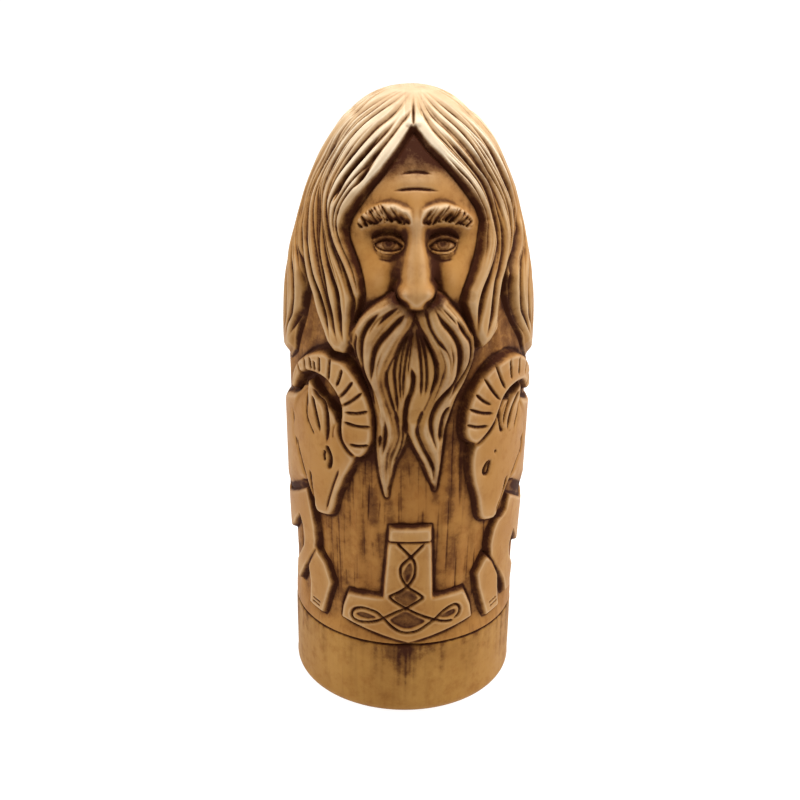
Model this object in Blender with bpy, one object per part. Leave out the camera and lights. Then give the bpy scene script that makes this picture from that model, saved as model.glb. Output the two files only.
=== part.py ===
"""Carved log idol: a bearded god, two rams and a hammer, built up as carvings seated on a log.

The carving is drawn flat and wrapped round the log. A place in the drawing is (angle, share):
the angle in degrees round the log, 0 at the front (-Y) and positive towards +X, and the share of
the way up from the plinth's top to the crown, in percent. A depth is how far a surface lies below
the log's outer skin, in mm.
"""
import math

import bpy
from mathutils import Vector
from mathutils.geometry import delaunay_2d_cdt

MM = 0.001

# Driving dimensions, in mm
TOTAL_HEIGHT = 140.0
LOG_RADIUS = 28.2
PLINTH_HEIGHT = 18.6
PLINTH_INSET = 2.2
PLINTH_FOOT_ROUND = 2.4
PLINTH_TOP_ROUND = 0.9
WAIST_TAPER = 0.8
FOOT_TAPER = 1.8
SHOULDER_SHARE = 57.0
WAIST_SHARE = 20.7
DOME_POWER = 1.95

# Depths below the skin, in mm
LOG_DEPTH = 2.3
HAIR_SEAT_DEPTH = 3.7
HEM_BLEND = 14.0
FACE_SEAT_DEPTH = 8.4
EDGE_DROP = 0.9
EDGE_WIDTH = 2.2
CROWN_CALM = 16.0
GROOVE_DEPTH = 1.2
GROOVE_REACH = 1.8

# Fits and mesh sizes, in mm
SEAT_GAP = 0.3
SIDE_GAP = 0.3
CELL = 3.6
BACK_CELL = 4.0
EDGE_STEP = 2.6
CORE_SEGMENTS = 60
PLINTH_SEGMENTS = 72
FOOT_STEPS = 3
TOP_STEPS = 2
CUTTER_REACH = 6.0
MITRE_LIMIT = 0.35
LOCK_STEPS = 13
LOCK_APART = 1.5

# Hammer sizes, in mm along the skin
HAMMER_LIFT = 0.4
HAMMER_HEAD_WIDTH = 32.0
HAMMER_TOP_WIDTH = 26.5
HAMMER_END_HEIGHT = 3.8
HAMMER_KEEL = 4.4
HAMMER_HEAD_HEIGHT = 12.6
HANDLE_FOOT_WIDTH = 11.2
HANDLE_TOP_WIDTH = 9.6
HANDLE_HEIGHT = 13.3
CAP_HEIGHT = 3.6
CAP_CHAMFER = 0.6

# Face: shares of the carving and of the head, and reliefs in mm
FACE_CENTRE = 0.6
HEAD_SHARE = 0.471
NOSE_FOOT_SHARE = 0.298
NOSE_SHARE = 0.298
NOSE_RISE = 3.7
FOREHEAD_RISE = 0.9
BROW_RISE = 1.4
CHEEK_DEPTH = 4.1
CHEEK_RISE = 1.1
SOCKET_DEPTH = 1.6
NOSTRIL_RISE = 1.6
EYE_RISE = 1.3


def level(share):
    """The height of a share of the way up from the plinth's top to the crown."""
    return PLINTH_HEIGHT + (TOTAL_HEIGHT - PLINTH_HEIGHT) * share / 100.0


def share_of(z):
    """The share of the way up of a height."""
    return 100.0 * (z - PLINTH_HEIGHT) / (TOTAL_HEIGHT - PLINTH_HEIGHT)


PLINTH_RADIUS = LOG_RADIUS - PLINTH_INSET
SKIN_RADIUS_FOOT = LOG_RADIUS - FOOT_TAPER
SKIN_RADIUS_WAIST = LOG_RADIUS - WAIST_TAPER
SHOULDER_HEIGHT = level(SHOULDER_SHARE)
WAIST_HEIGHT = level(WAIST_SHARE)


class Skin:
    """The log's outer skin as a turned profile, measured from the crown down its side."""

    SAMPLES = 600

    def __init__(self):
        self.path = [0.0]
        self.points = [(0.0, TOTAL_HEIGHT)]
        for i in range(1, self.SAMPLES + 1):
            z = self.sample_height(i / self.SAMPLES)
            r = self.radius(z)
            r0, z0 = self.points[-1]
            self.path.append(self.path[-1] + math.hypot(r - r0, z - z0))
            self.points.append((r, z))

    @staticmethod
    def sample_height(q):
        """Heights from the crown to the floor, closer together near the crown."""
        return TOTAL_HEIGHT * (1.0 - q ** 2)

    @staticmethod
    def radius(z):
        if z >= SHOULDER_HEIGHT:
            t = min(1.0, (z - SHOULDER_HEIGHT) / (TOTAL_HEIGHT - SHOULDER_HEIGHT))
            return LOG_RADIUS * math.sqrt(max(0.0, 1.0 - t ** DOME_POWER))
        if z >= WAIST_HEIGHT:
            t = (z - WAIST_HEIGHT) / (SHOULDER_HEIGHT - WAIST_HEIGHT)
            return SKIN_RADIUS_WAIST + t * (LOG_RADIUS - SKIN_RADIUS_WAIST)
        t = max(0.0, z - PLINTH_HEIGHT) / (WAIST_HEIGHT - PLINTH_HEIGHT)
        return SKIN_RADIUS_FOOT + t * (SKIN_RADIUS_WAIST - SKIN_RADIUS_FOOT)

    def down(self, z):
        """Distance along the skin from the crown to height z."""
        q = math.sqrt(max(0.0, 1.0 - z / TOTAL_HEIGHT)) * self.SAMPLES
        i = min(int(q), self.SAMPLES - 1)
        return self.path[i] + (q - i) * (self.path[i + 1] - self.path[i])

    def at(self, u):
        """Radius, height and outward normal at distance u from the crown."""
        lo, hi = 0, self.SAMPLES
        while hi - lo > 1:
            mid = (lo + hi) // 2
            if self.path[mid] <= u:
                lo = mid
            else:
                hi = mid
        (r0, z0), (r1, z1) = self.points[lo], self.points[hi]
        step = self.path[hi] - self.path[lo]
        k = (u - self.path[lo]) / step
        return r0 + k * (r1 - r0), z0 + k * (z1 - z0), (z0 - z1) / step, (r1 - r0) / step

    def point(self, angle, u, depth):
        """The point in space at an angle, a distance from the crown and a depth."""
        r, z, out, up = self.at(u)
        r = r - depth * out
        z = z - depth * up
        a = math.radians(angle)
        return Vector((r * math.sin(a), -r * math.cos(a), z)) * MM


SKIN = Skin()


def on_map(angle, u):
    """The drawing laid out as a disc with the crown at its centre."""
    a = math.radians(angle)
    return Vector((u * math.sin(a), -u * math.cos(a)))


def off_map(p):
    """Angle and distance from the crown of a point on the disc."""
    return math.degrees(math.atan2(p.x, -p.y)), p.length


def turn(a, b):
    """The short way round from angle a to angle b."""
    return (b - a + 180.0) % 360.0 - 180.0


def outline(points):
    """A closed outline on the disc, its long edges divided."""
    ring = [(a, SKIN.down(level(share))) for a, share in points]
    out = []
    for (a0, u0), (a1, u1) in zip(ring, ring[1:] + ring[:1]):
        if min(u0, u1) < CELL:
            step = Vector(on_map(a1, u1)) - on_map(a0, u0)
            count = max(1, math.ceil(step.length / EDGE_STEP))
            out += [on_map(a0, u0) + step * (i / count) for i in range(count)]
            continue
        r = SKIN.at((u0 + u1) / 2.0)[0]
        length = math.hypot(math.radians(turn(a0, a1)) * r, u1 - u0)
        count = max(1, math.ceil(length / EDGE_STEP))
        for i in range(count):
            k = i / count
            out.append(on_map(a0 + k * turn(a0, a1), u0 + k * (u1 - u0)))
    area = sum(p.x * q.y - q.x * p.y for p, q in zip(out, out[1:] + out[:1]))
    return out if area > 0.0 else out[::-1]


def grown(ring, gap):
    """The outline moved outwards by gap, measured along the skin."""
    out = []
    for before, p, after in zip(ring[-1:] + ring[:-1], ring, ring[1:] + ring[:1]):
        angle, u = off_map(p)
        u = max(u, 0.05)
        radial = p.normalized() if p.length > 1e-6 else Vector((0.0, -1.0))
        across = Vector((-radial.y, radial.x))
        squeeze = max(SKIN.at(u)[0], 0.05) / u
        normal = Vector((0.0, 0.0))
        side = Vector((0.0, 0.0))
        for a, b in ((before, p), (p, after)):
            edge = b - a
            flat = Vector((edge.dot(across) * squeeze, edge.dot(radial)))
            if flat.length > 1e-6:
                flat.normalize()
                side = Vector((-flat.y, flat.x))
                normal += side
        if normal.length < 1e-6:
            out.append(p.copy())
            continue
        normal.normalize()
        reach = gap / max(MITRE_LIMIT, normal.dot(side))
        out.append(p + (across * (normal.x / squeeze) + radial * normal.y) * reach)
    return out


def inside(ring, p):
    """Whether a point of the disc lies within an outline."""
    hit = False
    for a, b in zip(ring, ring[1:] + ring[:1]):
        if (a.y > p.y) != (b.y > p.y) and p.x < (b.x - a.x) * (p.y - a.y) / (b.y - a.y) + a.x:
            hit = not hit
    return hit


def fill_points(ring, cell):
    """Points on rows across the inside of an outline, about one cell apart on the skin."""
    low = min(p.length for p in ring)
    high = max(p.length for p in ring)
    if inside(ring, Vector((0.0, 0.0))):
        low = 0.0
    points = []
    row = int(low / cell)
    while row * cell < high:
        u = (row + 0.5) * cell
        r = SKIN.at(u)[0]
        count = max(6, round(2.0 * math.pi * r / cell))
        for i in range(count):
            angle = 360.0 * (i + 0.5 * (row % 2)) / count
            p = on_map(angle, u)
            if inside(ring, p):
                points.append(p)
        row += 1
    return points


def skin_distance(p, a, b):
    """Distance on the skin from a point of the disc to a segment of an outline."""
    angle, u = off_map(p)
    r = SKIN.at(u)[0]
    places = []
    for q in (a, b):
        q_angle, q_u = off_map(q)
        places.append(Vector((math.radians(turn(angle, q_angle)) * r, q_u - u)))
    start, end = places
    run = end - start
    k = 0.0 if run.length_squared == 0.0 else max(0.0, min(1.0, -start.dot(run) / run.length_squared))
    return (start + run * k).length


def inner_points(rows, ring, cell, fits):
    """The fitting points of the rows and of the rest of the inside, and the rows' edges."""
    extra = []
    ties = []

    def add(p, apart):
        place = SKIN.point(*off_map(p), 0.0) / MM
        if fits(p) and all((place - other).length > apart for other, _ in extra):
            extra.append((place, p))
            return len(extra) - 1
        return None

    for row in rows:
        last = None
        for p in row:
            this = add(p, LOCK_APART)
            if this is not None and last is not None:
                ties.append((last, this))
            last = this
    apart = 0.9 * cell if rows else 0.0
    for p in fill_points(ring, cell):
        add(p, apart)
    return [p for _, p in extra], ties


def region(ring, others, cell, rows=()):
    """Triangles of an outline less the other outlines, as points and index triples."""
    clear = [grown(other, SIDE_GAP) for other in others]

    def fits(p):
        if not inside(ring, p) or any(inside(r, p) for r in clear):
            return False
        borders = [ring] + clear
        return min(skin_distance(p, a, b) for r in borders for a, b in zip(r, r[1:] + r[:1])) > 0.38 * cell

    extra, ties = inner_points(rows, ring, cell, fits)
    points = []
    edges = []
    for border in [ring] + clear:
        start = len(points)
        points += border
        edges += [(start + i, start + (i + 1) % len(border)) for i in range(len(border))]
    edges += [(len(points) + a, len(points) + b) for a, b in ties]
    found = delaunay_2d_cdt(points + extra, edges, [], 0, 1e-4)
    places = found[0]
    keep = []
    for triangle in found[2]:
        centre = sum((places[i] for i in triangle), Vector((0.0, 0.0))) / 3.0
        if inside(ring, centre) and not any(inside(border, centre) for border in clear):
            keep.append(triangle)
    return places, largest_patch(keep)


def largest_patch(triangles):
    """The largest group of triangles that share edges."""
    by_edge = {}
    for i, t in enumerate(triangles):
        for a, b in zip(t, t[1:] + t[:1]):
            by_edge.setdefault(frozenset((a, b)), []).append(i)
    left = set(range(len(triangles)))
    best = []
    while left:
        group = [left.pop()]
        for i in group:
            t = triangles[i]
            for a, b in zip(t, t[1:] + t[:1]):
                for j in by_edge[frozenset((a, b))]:
                    if j in left:
                        left.remove(j)
                        group.append(j)
        if len(group) > len(best):
            best = group
    return [triangles[i] for i in best]


def rim_edges(triangles):
    """Directed edges that belong to one triangle only."""
    seen = {}
    for t in triangles:
        for a, b in zip(t, t[1:] + t[:1]):
            if (b, a) in seen:
                del seen[(b, a)]
            else:
                seen[(a, b)] = True
    return list(seen)


def slab(name, places, triangles, top, seat):
    """A closed solid over the triangles, from the seat depth up to the top depth."""
    used = sorted({i for t in triangles for i in t})
    index = {old: new for new, old in enumerate(used)}
    rim = rim_edges(triangles)
    upper = []
    lower = []
    for i in used:
        angle, u = off_map(places[i])
        edge = min(skin_distance(places[i], places[a], places[b]) for a, b in rim)
        upper.append(SKIN.point(angle, u, top(angle, u, edge)))
        lower.append(SKIN.point(angle, u, seat(angle, u)))
    count = len(used)
    faces = []
    for t in triangles:
        a, b, c = (index[i] for i in t)
        faces.append((a, b, c))
        faces.append((c + count, b + count, a + count))
    for a, b in rim:
        faces.append((index[b], index[a], index[a] + count, index[b] + count))
    return new_object(name, upper + lower, faces)


def new_object(name, points, faces):
    """A mesh object whose faces point out."""
    mesh = bpy.data.meshes.new(name)
    mesh.from_pydata(points, [], faces)
    mesh.validate()
    volume = 0.0
    for polygon in mesh.polygons:
        corners = [mesh.vertices[i].co for i in polygon.vertices]
        for i in range(1, len(corners) - 1):
            volume += corners[0].dot(corners[i].cross(corners[i + 1]))
    if volume < 0.0:
        mesh.flip_normals()
    mesh.shade_smooth()
    mesh.set_sharp_from_angle(angle=math.radians(38.0))
    obj = bpy.data.objects.new(name, mesh)
    bpy.context.collection.objects.link(obj)
    return obj


def material(name, colour, roughness):
    """A plain Principled material."""
    mat = bpy.data.materials.new(name)
    mat.use_nodes = True
    shader = mat.node_tree.nodes["Principled BSDF"]
    shader.inputs["Base Color"].default_value = (*colour, 1.0)
    shader.inputs["Roughness"].default_value = roughness
    shader.inputs["Metallic"].default_value = 0.0
    return mat


def paint(obj, colour, roughness=0.45):
    """Give an object its own material."""
    obj.data.materials.clear()
    obj.data.materials.append(material(obj.name + "_finish", colour, roughness))


def turned(name, profile, segments):
    """A solid turned from (radius, height) points, from the foot's centre to the top's centre."""
    points = [Vector((0.0, 0.0, profile[0][1])) * MM]
    rings = []
    for r, z in profile[1:-1]:
        start = len(points)
        rings.append([start + i for i in range(segments)])
        for i in range(segments):
            a = 2.0 * math.pi * i / segments
            points.append(Vector((r * math.sin(a), -r * math.cos(a), z)) * MM)
    points.append(Vector((0.0, 0.0, profile[-1][1])) * MM)
    top = len(points) - 1
    faces = []
    for i in range(segments):
        j = (i + 1) % segments
        faces.append((0, rings[0][j], rings[0][i]))
        faces.append((top, rings[-1][i], rings[-1][j]))
        for low, high in zip(rings, rings[1:]):
            faces.append((low[i], low[j], high[j], high[i]))
    return new_object(name, points, faces)


def ease(t):
    """Smooth step from 0 to 1."""
    t = max(0.0, min(1.0, t))
    return t * t * (3.0 - 2.0 * t)


def core_depth(u):
    """Depth of the log's own surface: shallow under the carvings, deeper under the hair."""
    z = SKIN.at(u)[1]
    rise = ease((z - (SHOULDER_HEIGHT - HEM_BLEND / 2.0)) / HEM_BLEND)
    return LOG_DEPTH + rise * (HAIR_SEAT_DEPTH - LOG_DEPTH)


def on_core(angle, u):
    """Seat of a carving on the log."""
    return core_depth(u) - SEAT_GAP


def in_pocket(angle, u):
    """Seat of the face in its pocket."""
    return FACE_SEAT_DEPTH - SEAT_GAP


def rounded(depth, drop=EDGE_DROP, width=EDGE_WIDTH):
    """Top of a carving: flat at a depth and eased down along its edge, but not at the crown."""
    def top(angle, u, edge):
        away = ease(u / CROWN_CALM)
        return away * (depth + drop * (1.0 - ease(edge / width)))
    return top


def along_line(line, count):
    """Even steps along a line of (angle, share) points, as angle and distance from the crown."""
    places = [(a, SKIN.down(level(share))) for a, share in line]
    lengths = [0.0]
    for (a0, u0), (a1, u1) in zip(places, places[1:]):
        r = SKIN.at((u0 + u1) / 2.0)[0]
        lengths.append(lengths[-1] + math.hypot(math.radians(a1 - a0) * r, u1 - u0))
    out = []
    i = 0
    for n in range(count):
        want = lengths[-1] * n / (count - 1)
        while i < len(places) - 2 and lengths[i + 1] < want:
            i += 1
        k = (want - lengths[i]) / (lengths[i + 1] - lengths[i])
        (a0, u0), (a1, u1) = places[i], places[i + 1]
        out.append((a0 + k * (a1 - a0), u0 + k * (u1 - u0)))
    return out


def lock_rows(lines):
    """The grooves between the locks and the crests of the locks, as rows on the disc."""
    rows = [along_line(line, LOCK_STEPS) for line in lines]
    crests = []
    for first, second in zip(rows, rows[1:]):
        crests.append([on_map((a0 + a1) / 2.0, (u0 + u1) / 2.0)
                       for (a0, u0), (a1, u1) in zip(first, second)])
    return [[on_map(a, u) for a, u in row] for row in rows[1:-1]], crests


def grooved(plain, grooves):
    """A top with V grooves between its locks, fading out at the crown."""
    def top(angle, u, edge):
        p = on_map(angle, u)
        near = min(skin_distance(p, a, b) for row in grooves for a, b in zip(row, row[1:]))
        groove = GROOVE_DEPTH * (1.0 - ease(near / GROOVE_REACH))
        return plain(angle, u, edge) + ease(u / CROWN_CALM) * groove
    return top


def bell(x, width):
    """A smooth bump of height 1."""
    return math.exp(-(x / width) ** 2)


# The face's levels, with the width of an eye as the unit of its forms
HEAD_HEIGHT = HEAD_SHARE * (TOTAL_HEIGHT - PLINTH_HEIGHT)
CHIN_HEIGHT = TOTAL_HEIGHT - HEAD_HEIGHT
EYE_HEIGHT = CHIN_HEIGHT + HEAD_HEIGHT / 2.0
NOSE_FOOT = CHIN_HEIGHT + NOSE_FOOT_SHARE * HEAD_HEIGHT
NOSE_HEIGHT = NOSE_SHARE * HEAD_HEIGHT
BROW_HEIGHT = NOSE_FOOT + NOSE_HEIGHT
EYE_WIDTH = LOG_RADIUS / 5.0
EYE_ANGLE = math.degrees(EYE_WIDTH / (LOG_RADIUS - CHEEK_DEPTH))
EYE_LID = 0.34 * EYE_WIDTH
NOSE_WIDTH = 1.14 * EYE_WIDTH
BROW_THICKNESS = 0.23 * EYE_WIDTH
BROW_ARCH = 0.27 * EYE_WIDTH
BROW_FALL = 0.25 * EYE_WIDTH


def face_top(angle, u, edge):
    """A calm, plain face: forehead, brow, nose and cheeks on even proportions."""
    unit = EYE_WIDTH
    z = SKIN.at(u)[1]
    x = math.radians(turn(FACE_CENTRE, angle)) * SKIN.at(u)[0]
    above_brow = z - BROW_HEIGHT
    above_eye = z - EYE_HEIGHT
    depth = CHEEK_DEPTH
    depth -= FOREHEAD_RISE * ease((above_brow / unit + 0.36) / 1.07)
    depth -= BROW_RISE * bell(above_brow, 0.57 * unit) * bell(x, 2.25 * unit)
    depth += SOCKET_DEPTH * bell(abs(x) - unit, 0.62 * unit) * bell(above_eye - 0.1 * unit, 0.6 * unit)
    cheek = bell(abs(x) - 1.35 * unit, 0.75 * unit) * bell(above_eye + 1.6 * unit, 0.8 * unit)
    depth -= CHEEK_RISE * cheek
    along = -above_brow / NOSE_HEIGHT
    if -0.2 < along < 1.35:
        width = NOSE_WIDTH * (0.30 + 0.22 * ease(along))
        rise = NOSE_RISE * (0.34 + 0.66 * ease(along)) * (1.0 - ease((along - 1.0) / 0.2))
        depth -= rise * bell(x, width)
        nostril = bell(abs(x) - NOSE_WIDTH * 0.42, 0.27 * unit)
        depth -= NOSTRIL_RISE * nostril * bell(z - NOSE_FOOT - 0.36 * unit, 0.36 * unit)
    return max(0.4, depth)


def eye_top(angle, u, edge):
    """The lids and ball of one closed-in eye."""
    return face_top(angle, u, edge) - EYE_RISE * ease(edge / 1.6)


def brow_top(angle, u, edge):
    """One bushy brow, standing off the forehead."""
    return max(0.6, face_top(angle, u, edge) - 1.3 * ease(edge / 1.2) - 0.2)


# Seams of the hair, from the crown down
CROWN = [(0.0, 100.0)]
PARTING = [(-0.5, 98.3), (0.0, 96.7), (0.0, 95.0)]
FACE_EDGE_LEFT = [(-4.0, 93.6), (-10.0, 91.6), (-16.0, 89.4), (-22.0, 87.4), (-27.5, 85.4),
                  (-33.5, 82.8), (-38.5, 80.2), (-39.5, 78.1), (-37.5, 76.3), (-33.5, 74.4),
                  (-29.5, 72.2), (-26.5, 70.2), (-25.0, 67.8), (-26.5, 65.1), (-28.0, 62.4)]
FRONT_FOOT_LEFT = [(-26.6, 59.5), (-31.0, 56.6), (-37.0, 56.6), (-41.5, 58.3), (-44.5, 60.3),
                   (-48.5, 62.8), (-52.5, 65.7), (-57.5, 67.9)]
SIDE_SEAM_LEFT = [(-62.0, 70.2), (-68.0, 73.1), (-75.0, 76.0), (-81.5, 80.2), (-83.0, 85.1),
                  (-79.0, 91.7), (-68.0, 97.1)]
SIDE_EDGE_LEFT = [(-61.5, 66.5), (-63.5, 62.0), (-66.5, 58.3), (-69.0, 53.7), (-76.0, 51.7),
                  (-84.0, 51.2)]
FACE_EDGE_RIGHT = [(6.5, 93.4), (13.0, 91.6), (19.5, 89.4), (26.5, 87.6), (32.5, 85.8),
                   (38.5, 82.3), (41.0, 79.7), (38.0, 76.9), (35.0, 74.2), (29.5, 71.1),
                   (25.0, 68.6), (23.5, 66.3), (25.5, 63.5)]
FRONT_FOOT_RIGHT = [(27.5, 60.3), (31.5, 57.5), (36.5, 58.7), (41.5, 60.6), (45.0, 63.8),
                    (48.0, 67.6)]
SIDE_SEAM_RIGHT = [(52.5, 69.8), (62.0, 72.3), (71.0, 76.0), (77.0, 81.0), (77.5, 86.8),
                   (73.0, 92.6), (64.0, 97.1)]
SIDE_EDGE_RIGHT = [(52.5, 65.7), (56.0, 62.4), (62.0, 59.1), (69.0, 54.1), (78.0, 51.2),
                   (84.0, 51.2)]
BACK_SEAM_SHARES = (54.0, 66.9, 76.9, 86.8, 95.0)
BACK_SEAM_ANGLE = 92.0
BACK_HEM = [(100.0, 53.3), (110.0, 55.4), (122.0, 51.7), (134.0, 54.1), (147.0, 50.0),
            (160.0, 52.9), (172.0, 49.2)]


def back_seam(side):
    """The seam behind one ear, from the hem up."""
    return [(side * BACK_SEAM_ANGLE, share) for share in BACK_SEAM_SHARES]


FACE_FOOT = [(22.0, 64.1), (17.0, 65.8), (11.0, 67.9), (4.0, 67.9), (0.0, 66.8), (-4.0, 67.8),
             (-9.0, 67.9), (-15.0, 66.4), (-21.0, 64.5)]
FACE = PARTING[-1:] + FACE_EDGE_LEFT + FACE_FOOT[::-1] + FACE_EDGE_RIGHT[::-1]

HAIR_LEFT_FRONT = CROWN + PARTING + FACE_EDGE_LEFT + FRONT_FOOT_LEFT + SIDE_SEAM_LEFT
HAIR_RIGHT_FRONT = CROWN + PARTING + FACE_EDGE_RIGHT + FRONT_FOOT_RIGHT + SIDE_SEAM_RIGHT
HAIR_LEFT_SIDE = CROWN + SIDE_SEAM_LEFT[::-1] + SIDE_EDGE_LEFT + back_seam(-1.0)
HAIR_RIGHT_SIDE = CROWN + SIDE_SEAM_RIGHT[::-1] + SIDE_EDGE_RIGHT + back_seam(1.0)
HAIR_BACK = (CROWN + back_seam(1.0)[::-1] + BACK_HEM + [(180.0, 51.2)]
             + [(-a, z) for a, z in BACK_HEM[::-1]] + back_seam(-1.0))

# Lines between the locks, from the crown down, with the edges of each group first and last
LOCKS_LEFT_FRONT = [
    FACE_EDGE_LEFT,
    [(-11.5, 98.4), (-32.0, 93.9), (-45.5, 89.1), (-53.5, 81.9), (-46.5, 76.5), (-35.5, 72.0),
     (-28.6, 66.6), (-29.5, 60.0)],
    [(-23.0, 98.4), (-46.5, 94.4), (-60.5, 86.8), (-61.5, 83.1), (-53.0, 76.5), (-41.5, 70.3),
     (-35.0, 64.6), (-31.5, 59.5)],
    [(-40.0, 97.9), (-64.5, 90.5), (-69.0, 86.8), (-64.0, 80.2), (-52.5, 73.0), (-41.8, 65.8),
     (-34.5, 59.4)],
    [(-55.0, 97.1), (-75.5, 88.1), (-76.0, 83.5), (-66.0, 75.7), (-53.5, 69.2), (-43.0, 62.9),
     (-37.5, 58.6)],
    SIDE_SEAM_LEFT[::-1] + FRONT_FOOT_LEFT[:2:-1],
]
LOCKS_RIGHT_FRONT = [
    FACE_EDGE_RIGHT,
    [(13.0, 94.7), (35.0, 88.7), (43.0, 84.8), (47.0, 80.2), (43.0, 73.3), (33.0, 67.9),
     (29.0, 60.5)],
    [(18.0, 96.0), (42.0, 89.3), (51.0, 83.5), (52.5, 77.4), (45.0, 71.2), (38.8, 66.4),
     (33.5, 61.0)],
    [(28.0, 96.7), (50.0, 89.3), (59.5, 80.2), (57.0, 74.0), (46.5, 68.4), (41.0, 62.4),
     (37.0, 60.5)],
    [(40.0, 96.7), (62.0, 88.8), (68.5, 79.4), (60.0, 72.5), (48.5, 66.7), (43.0, 61.8)],
    SIDE_SEAM_RIGHT[::-1] + FRONT_FOOT_RIGHT[:2:-1],
]
LOCKS_RIGHT_SIDE = [
    SIDE_SEAM_RIGHT[::-1] + SIDE_EDGE_RIGHT,
    [(76.0, 95.5), (83.0, 87.0), (83.5, 79.0), (75.0, 73.5), (65.0, 69.5), (60.5, 64.5),
     (66.0, 58.0)],
    [(84.0, 95.0), (88.0, 84.0), (86.0, 75.5), (77.0, 69.0), (70.0, 63.5), (72.0, 57.5),
     (76.0, 53.5)],
    back_seam(1.0)[::-1],
]
BACK_LOCKS = 11
BACK_SWAY = 3.5


def back_locks():
    """Lines down the back of the head from one seam to the other, swaying a little."""
    lines = [back_seam(1.0)[::-1]]
    for i in range(1, BACK_LOCKS):
        angle = BACK_SEAM_ANGLE + (360.0 - 2.0 * BACK_SEAM_ANGLE) * i / BACK_LOCKS
        sway = BACK_SWAY * math.sin(2.4 * i)
        lines.append([(angle, 97.0), (angle, 91.8), (angle + sway, 83.5), (angle + 0.5 * sway, 75.3),
                      (angle - 0.6 * sway, 67.1), (angle - sway, 59.6), (angle, 52.0)])
    lines.append([(360.0 - a, share) for a, share in back_seam(1.0)[::-1]])
    return lines


def locks_of(name):
    """The lines between the locks of a piece of hair, or none for other pieces."""
    lines = {
        "hair_left_front": LOCKS_LEFT_FRONT,
        "hair_right_front": LOCKS_RIGHT_FRONT,
        "hair_left_side": [mirrored(line) for line in LOCKS_RIGHT_SIDE],
        "hair_right_side": LOCKS_RIGHT_SIDE,
        "hair_back": back_locks(),
    }
    return lines.get(name, [])


# Moustache and beard
MOUSTACHE_LEFT = [(-0.3, 66.5), (-4.0, 68.0), (-9.0, 68.2), (-14.0, 66.9), (-19.0, 65.3),
                  (-23.5, 63.2), (-26.6, 60.7), (-27.0, 58.7), (-25.5, 56.2), (-23.5, 54.0),
                  (-20.5, 52.1), (-18.0, 49.6), (-16.0, 46.7), (-15.5, 43.8), (-16.0, 41.3),
                  (-15.5, 38.8), (-14.5, 35.5), (-13.0, 32.4), (-11.5, 30.6), (-11.2, 33.9),
                  (-10.5, 38.0), (-8.0, 40.9), (-7.0, 43.0), (-8.5, 46.3), (-12.0, 50.0),
                  (-13.5, 52.7), (-12.0, 55.4), (-7.5, 59.2), (-4.0, 61.6), (-1.5, 63.6)]
MOUSTACHE_RIGHT = [(0.3, 66.5), (4.0, 68.0), (8.5, 68.6), (13.0, 67.8), (18.0, 65.7),
                   (22.5, 63.6), (26.3, 61.2), (28.0, 58.7), (27.6, 56.2), (25.8, 54.2),
                   (23.0, 51.9), (19.5, 49.6), (17.0, 46.8), (14.8, 43.8), (14.0, 40.9),
                   (13.4, 38.0), (12.4, 34.7), (11.3, 31.8), (11.2, 33.9), (10.5, 36.5),
                   (8.5, 38.3), (5.5, 40.7), (3.0, 43.4), (4.0, 45.6), (7.5, 48.8),
                   (10.5, 52.1), (12.0, 54.8), (9.5, 57.9), (5.5, 61.0), (2.0, 64.0)]
BEARD_LEFT = [(-6.5, 46.7), (-3.2, 46.7), (-2.6, 44.2), (-3.0, 41.8), (-5.6, 39.2), (-8.4, 37.0),
              (-9.6, 34.9), (-11.0, 32.6), (-10.9, 35.1), (-10.1, 37.9), (-7.6, 40.7),
              (-6.4, 43.0), (-7.2, 45.5)]
BEARD_RIGHT = [(-2.0, 46.3), (1.0, 46.9), (3.4, 46.4), (3.0, 44.8), (2.4, 43.3), (4.6, 41.0),
               (8.0, 38.3), (10.2, 36.2), (11.0, 32.7), (8.4, 34.5), (5.6, 37.2), (2.0, 39.8),
               (-0.6, 42.0), (-2.0, 43.8)]
BEARD_CHIN = [(0.0, 65.8), (3.5, 62.8), (8.0, 59.5), (12.6, 54.8), (9.0, 49.6), (4.0, 46.0),
              (-2.3, 46.0), (-7.5, 46.0), (-12.6, 49.8), (-14.2, 52.7), (-12.4, 55.7),
              (-7.0, 59.8), (-3.0, 62.8)]


def mirrored(points):
    """The same outline on the other side of the log."""
    return [(-a, z) for a, z in points]


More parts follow.
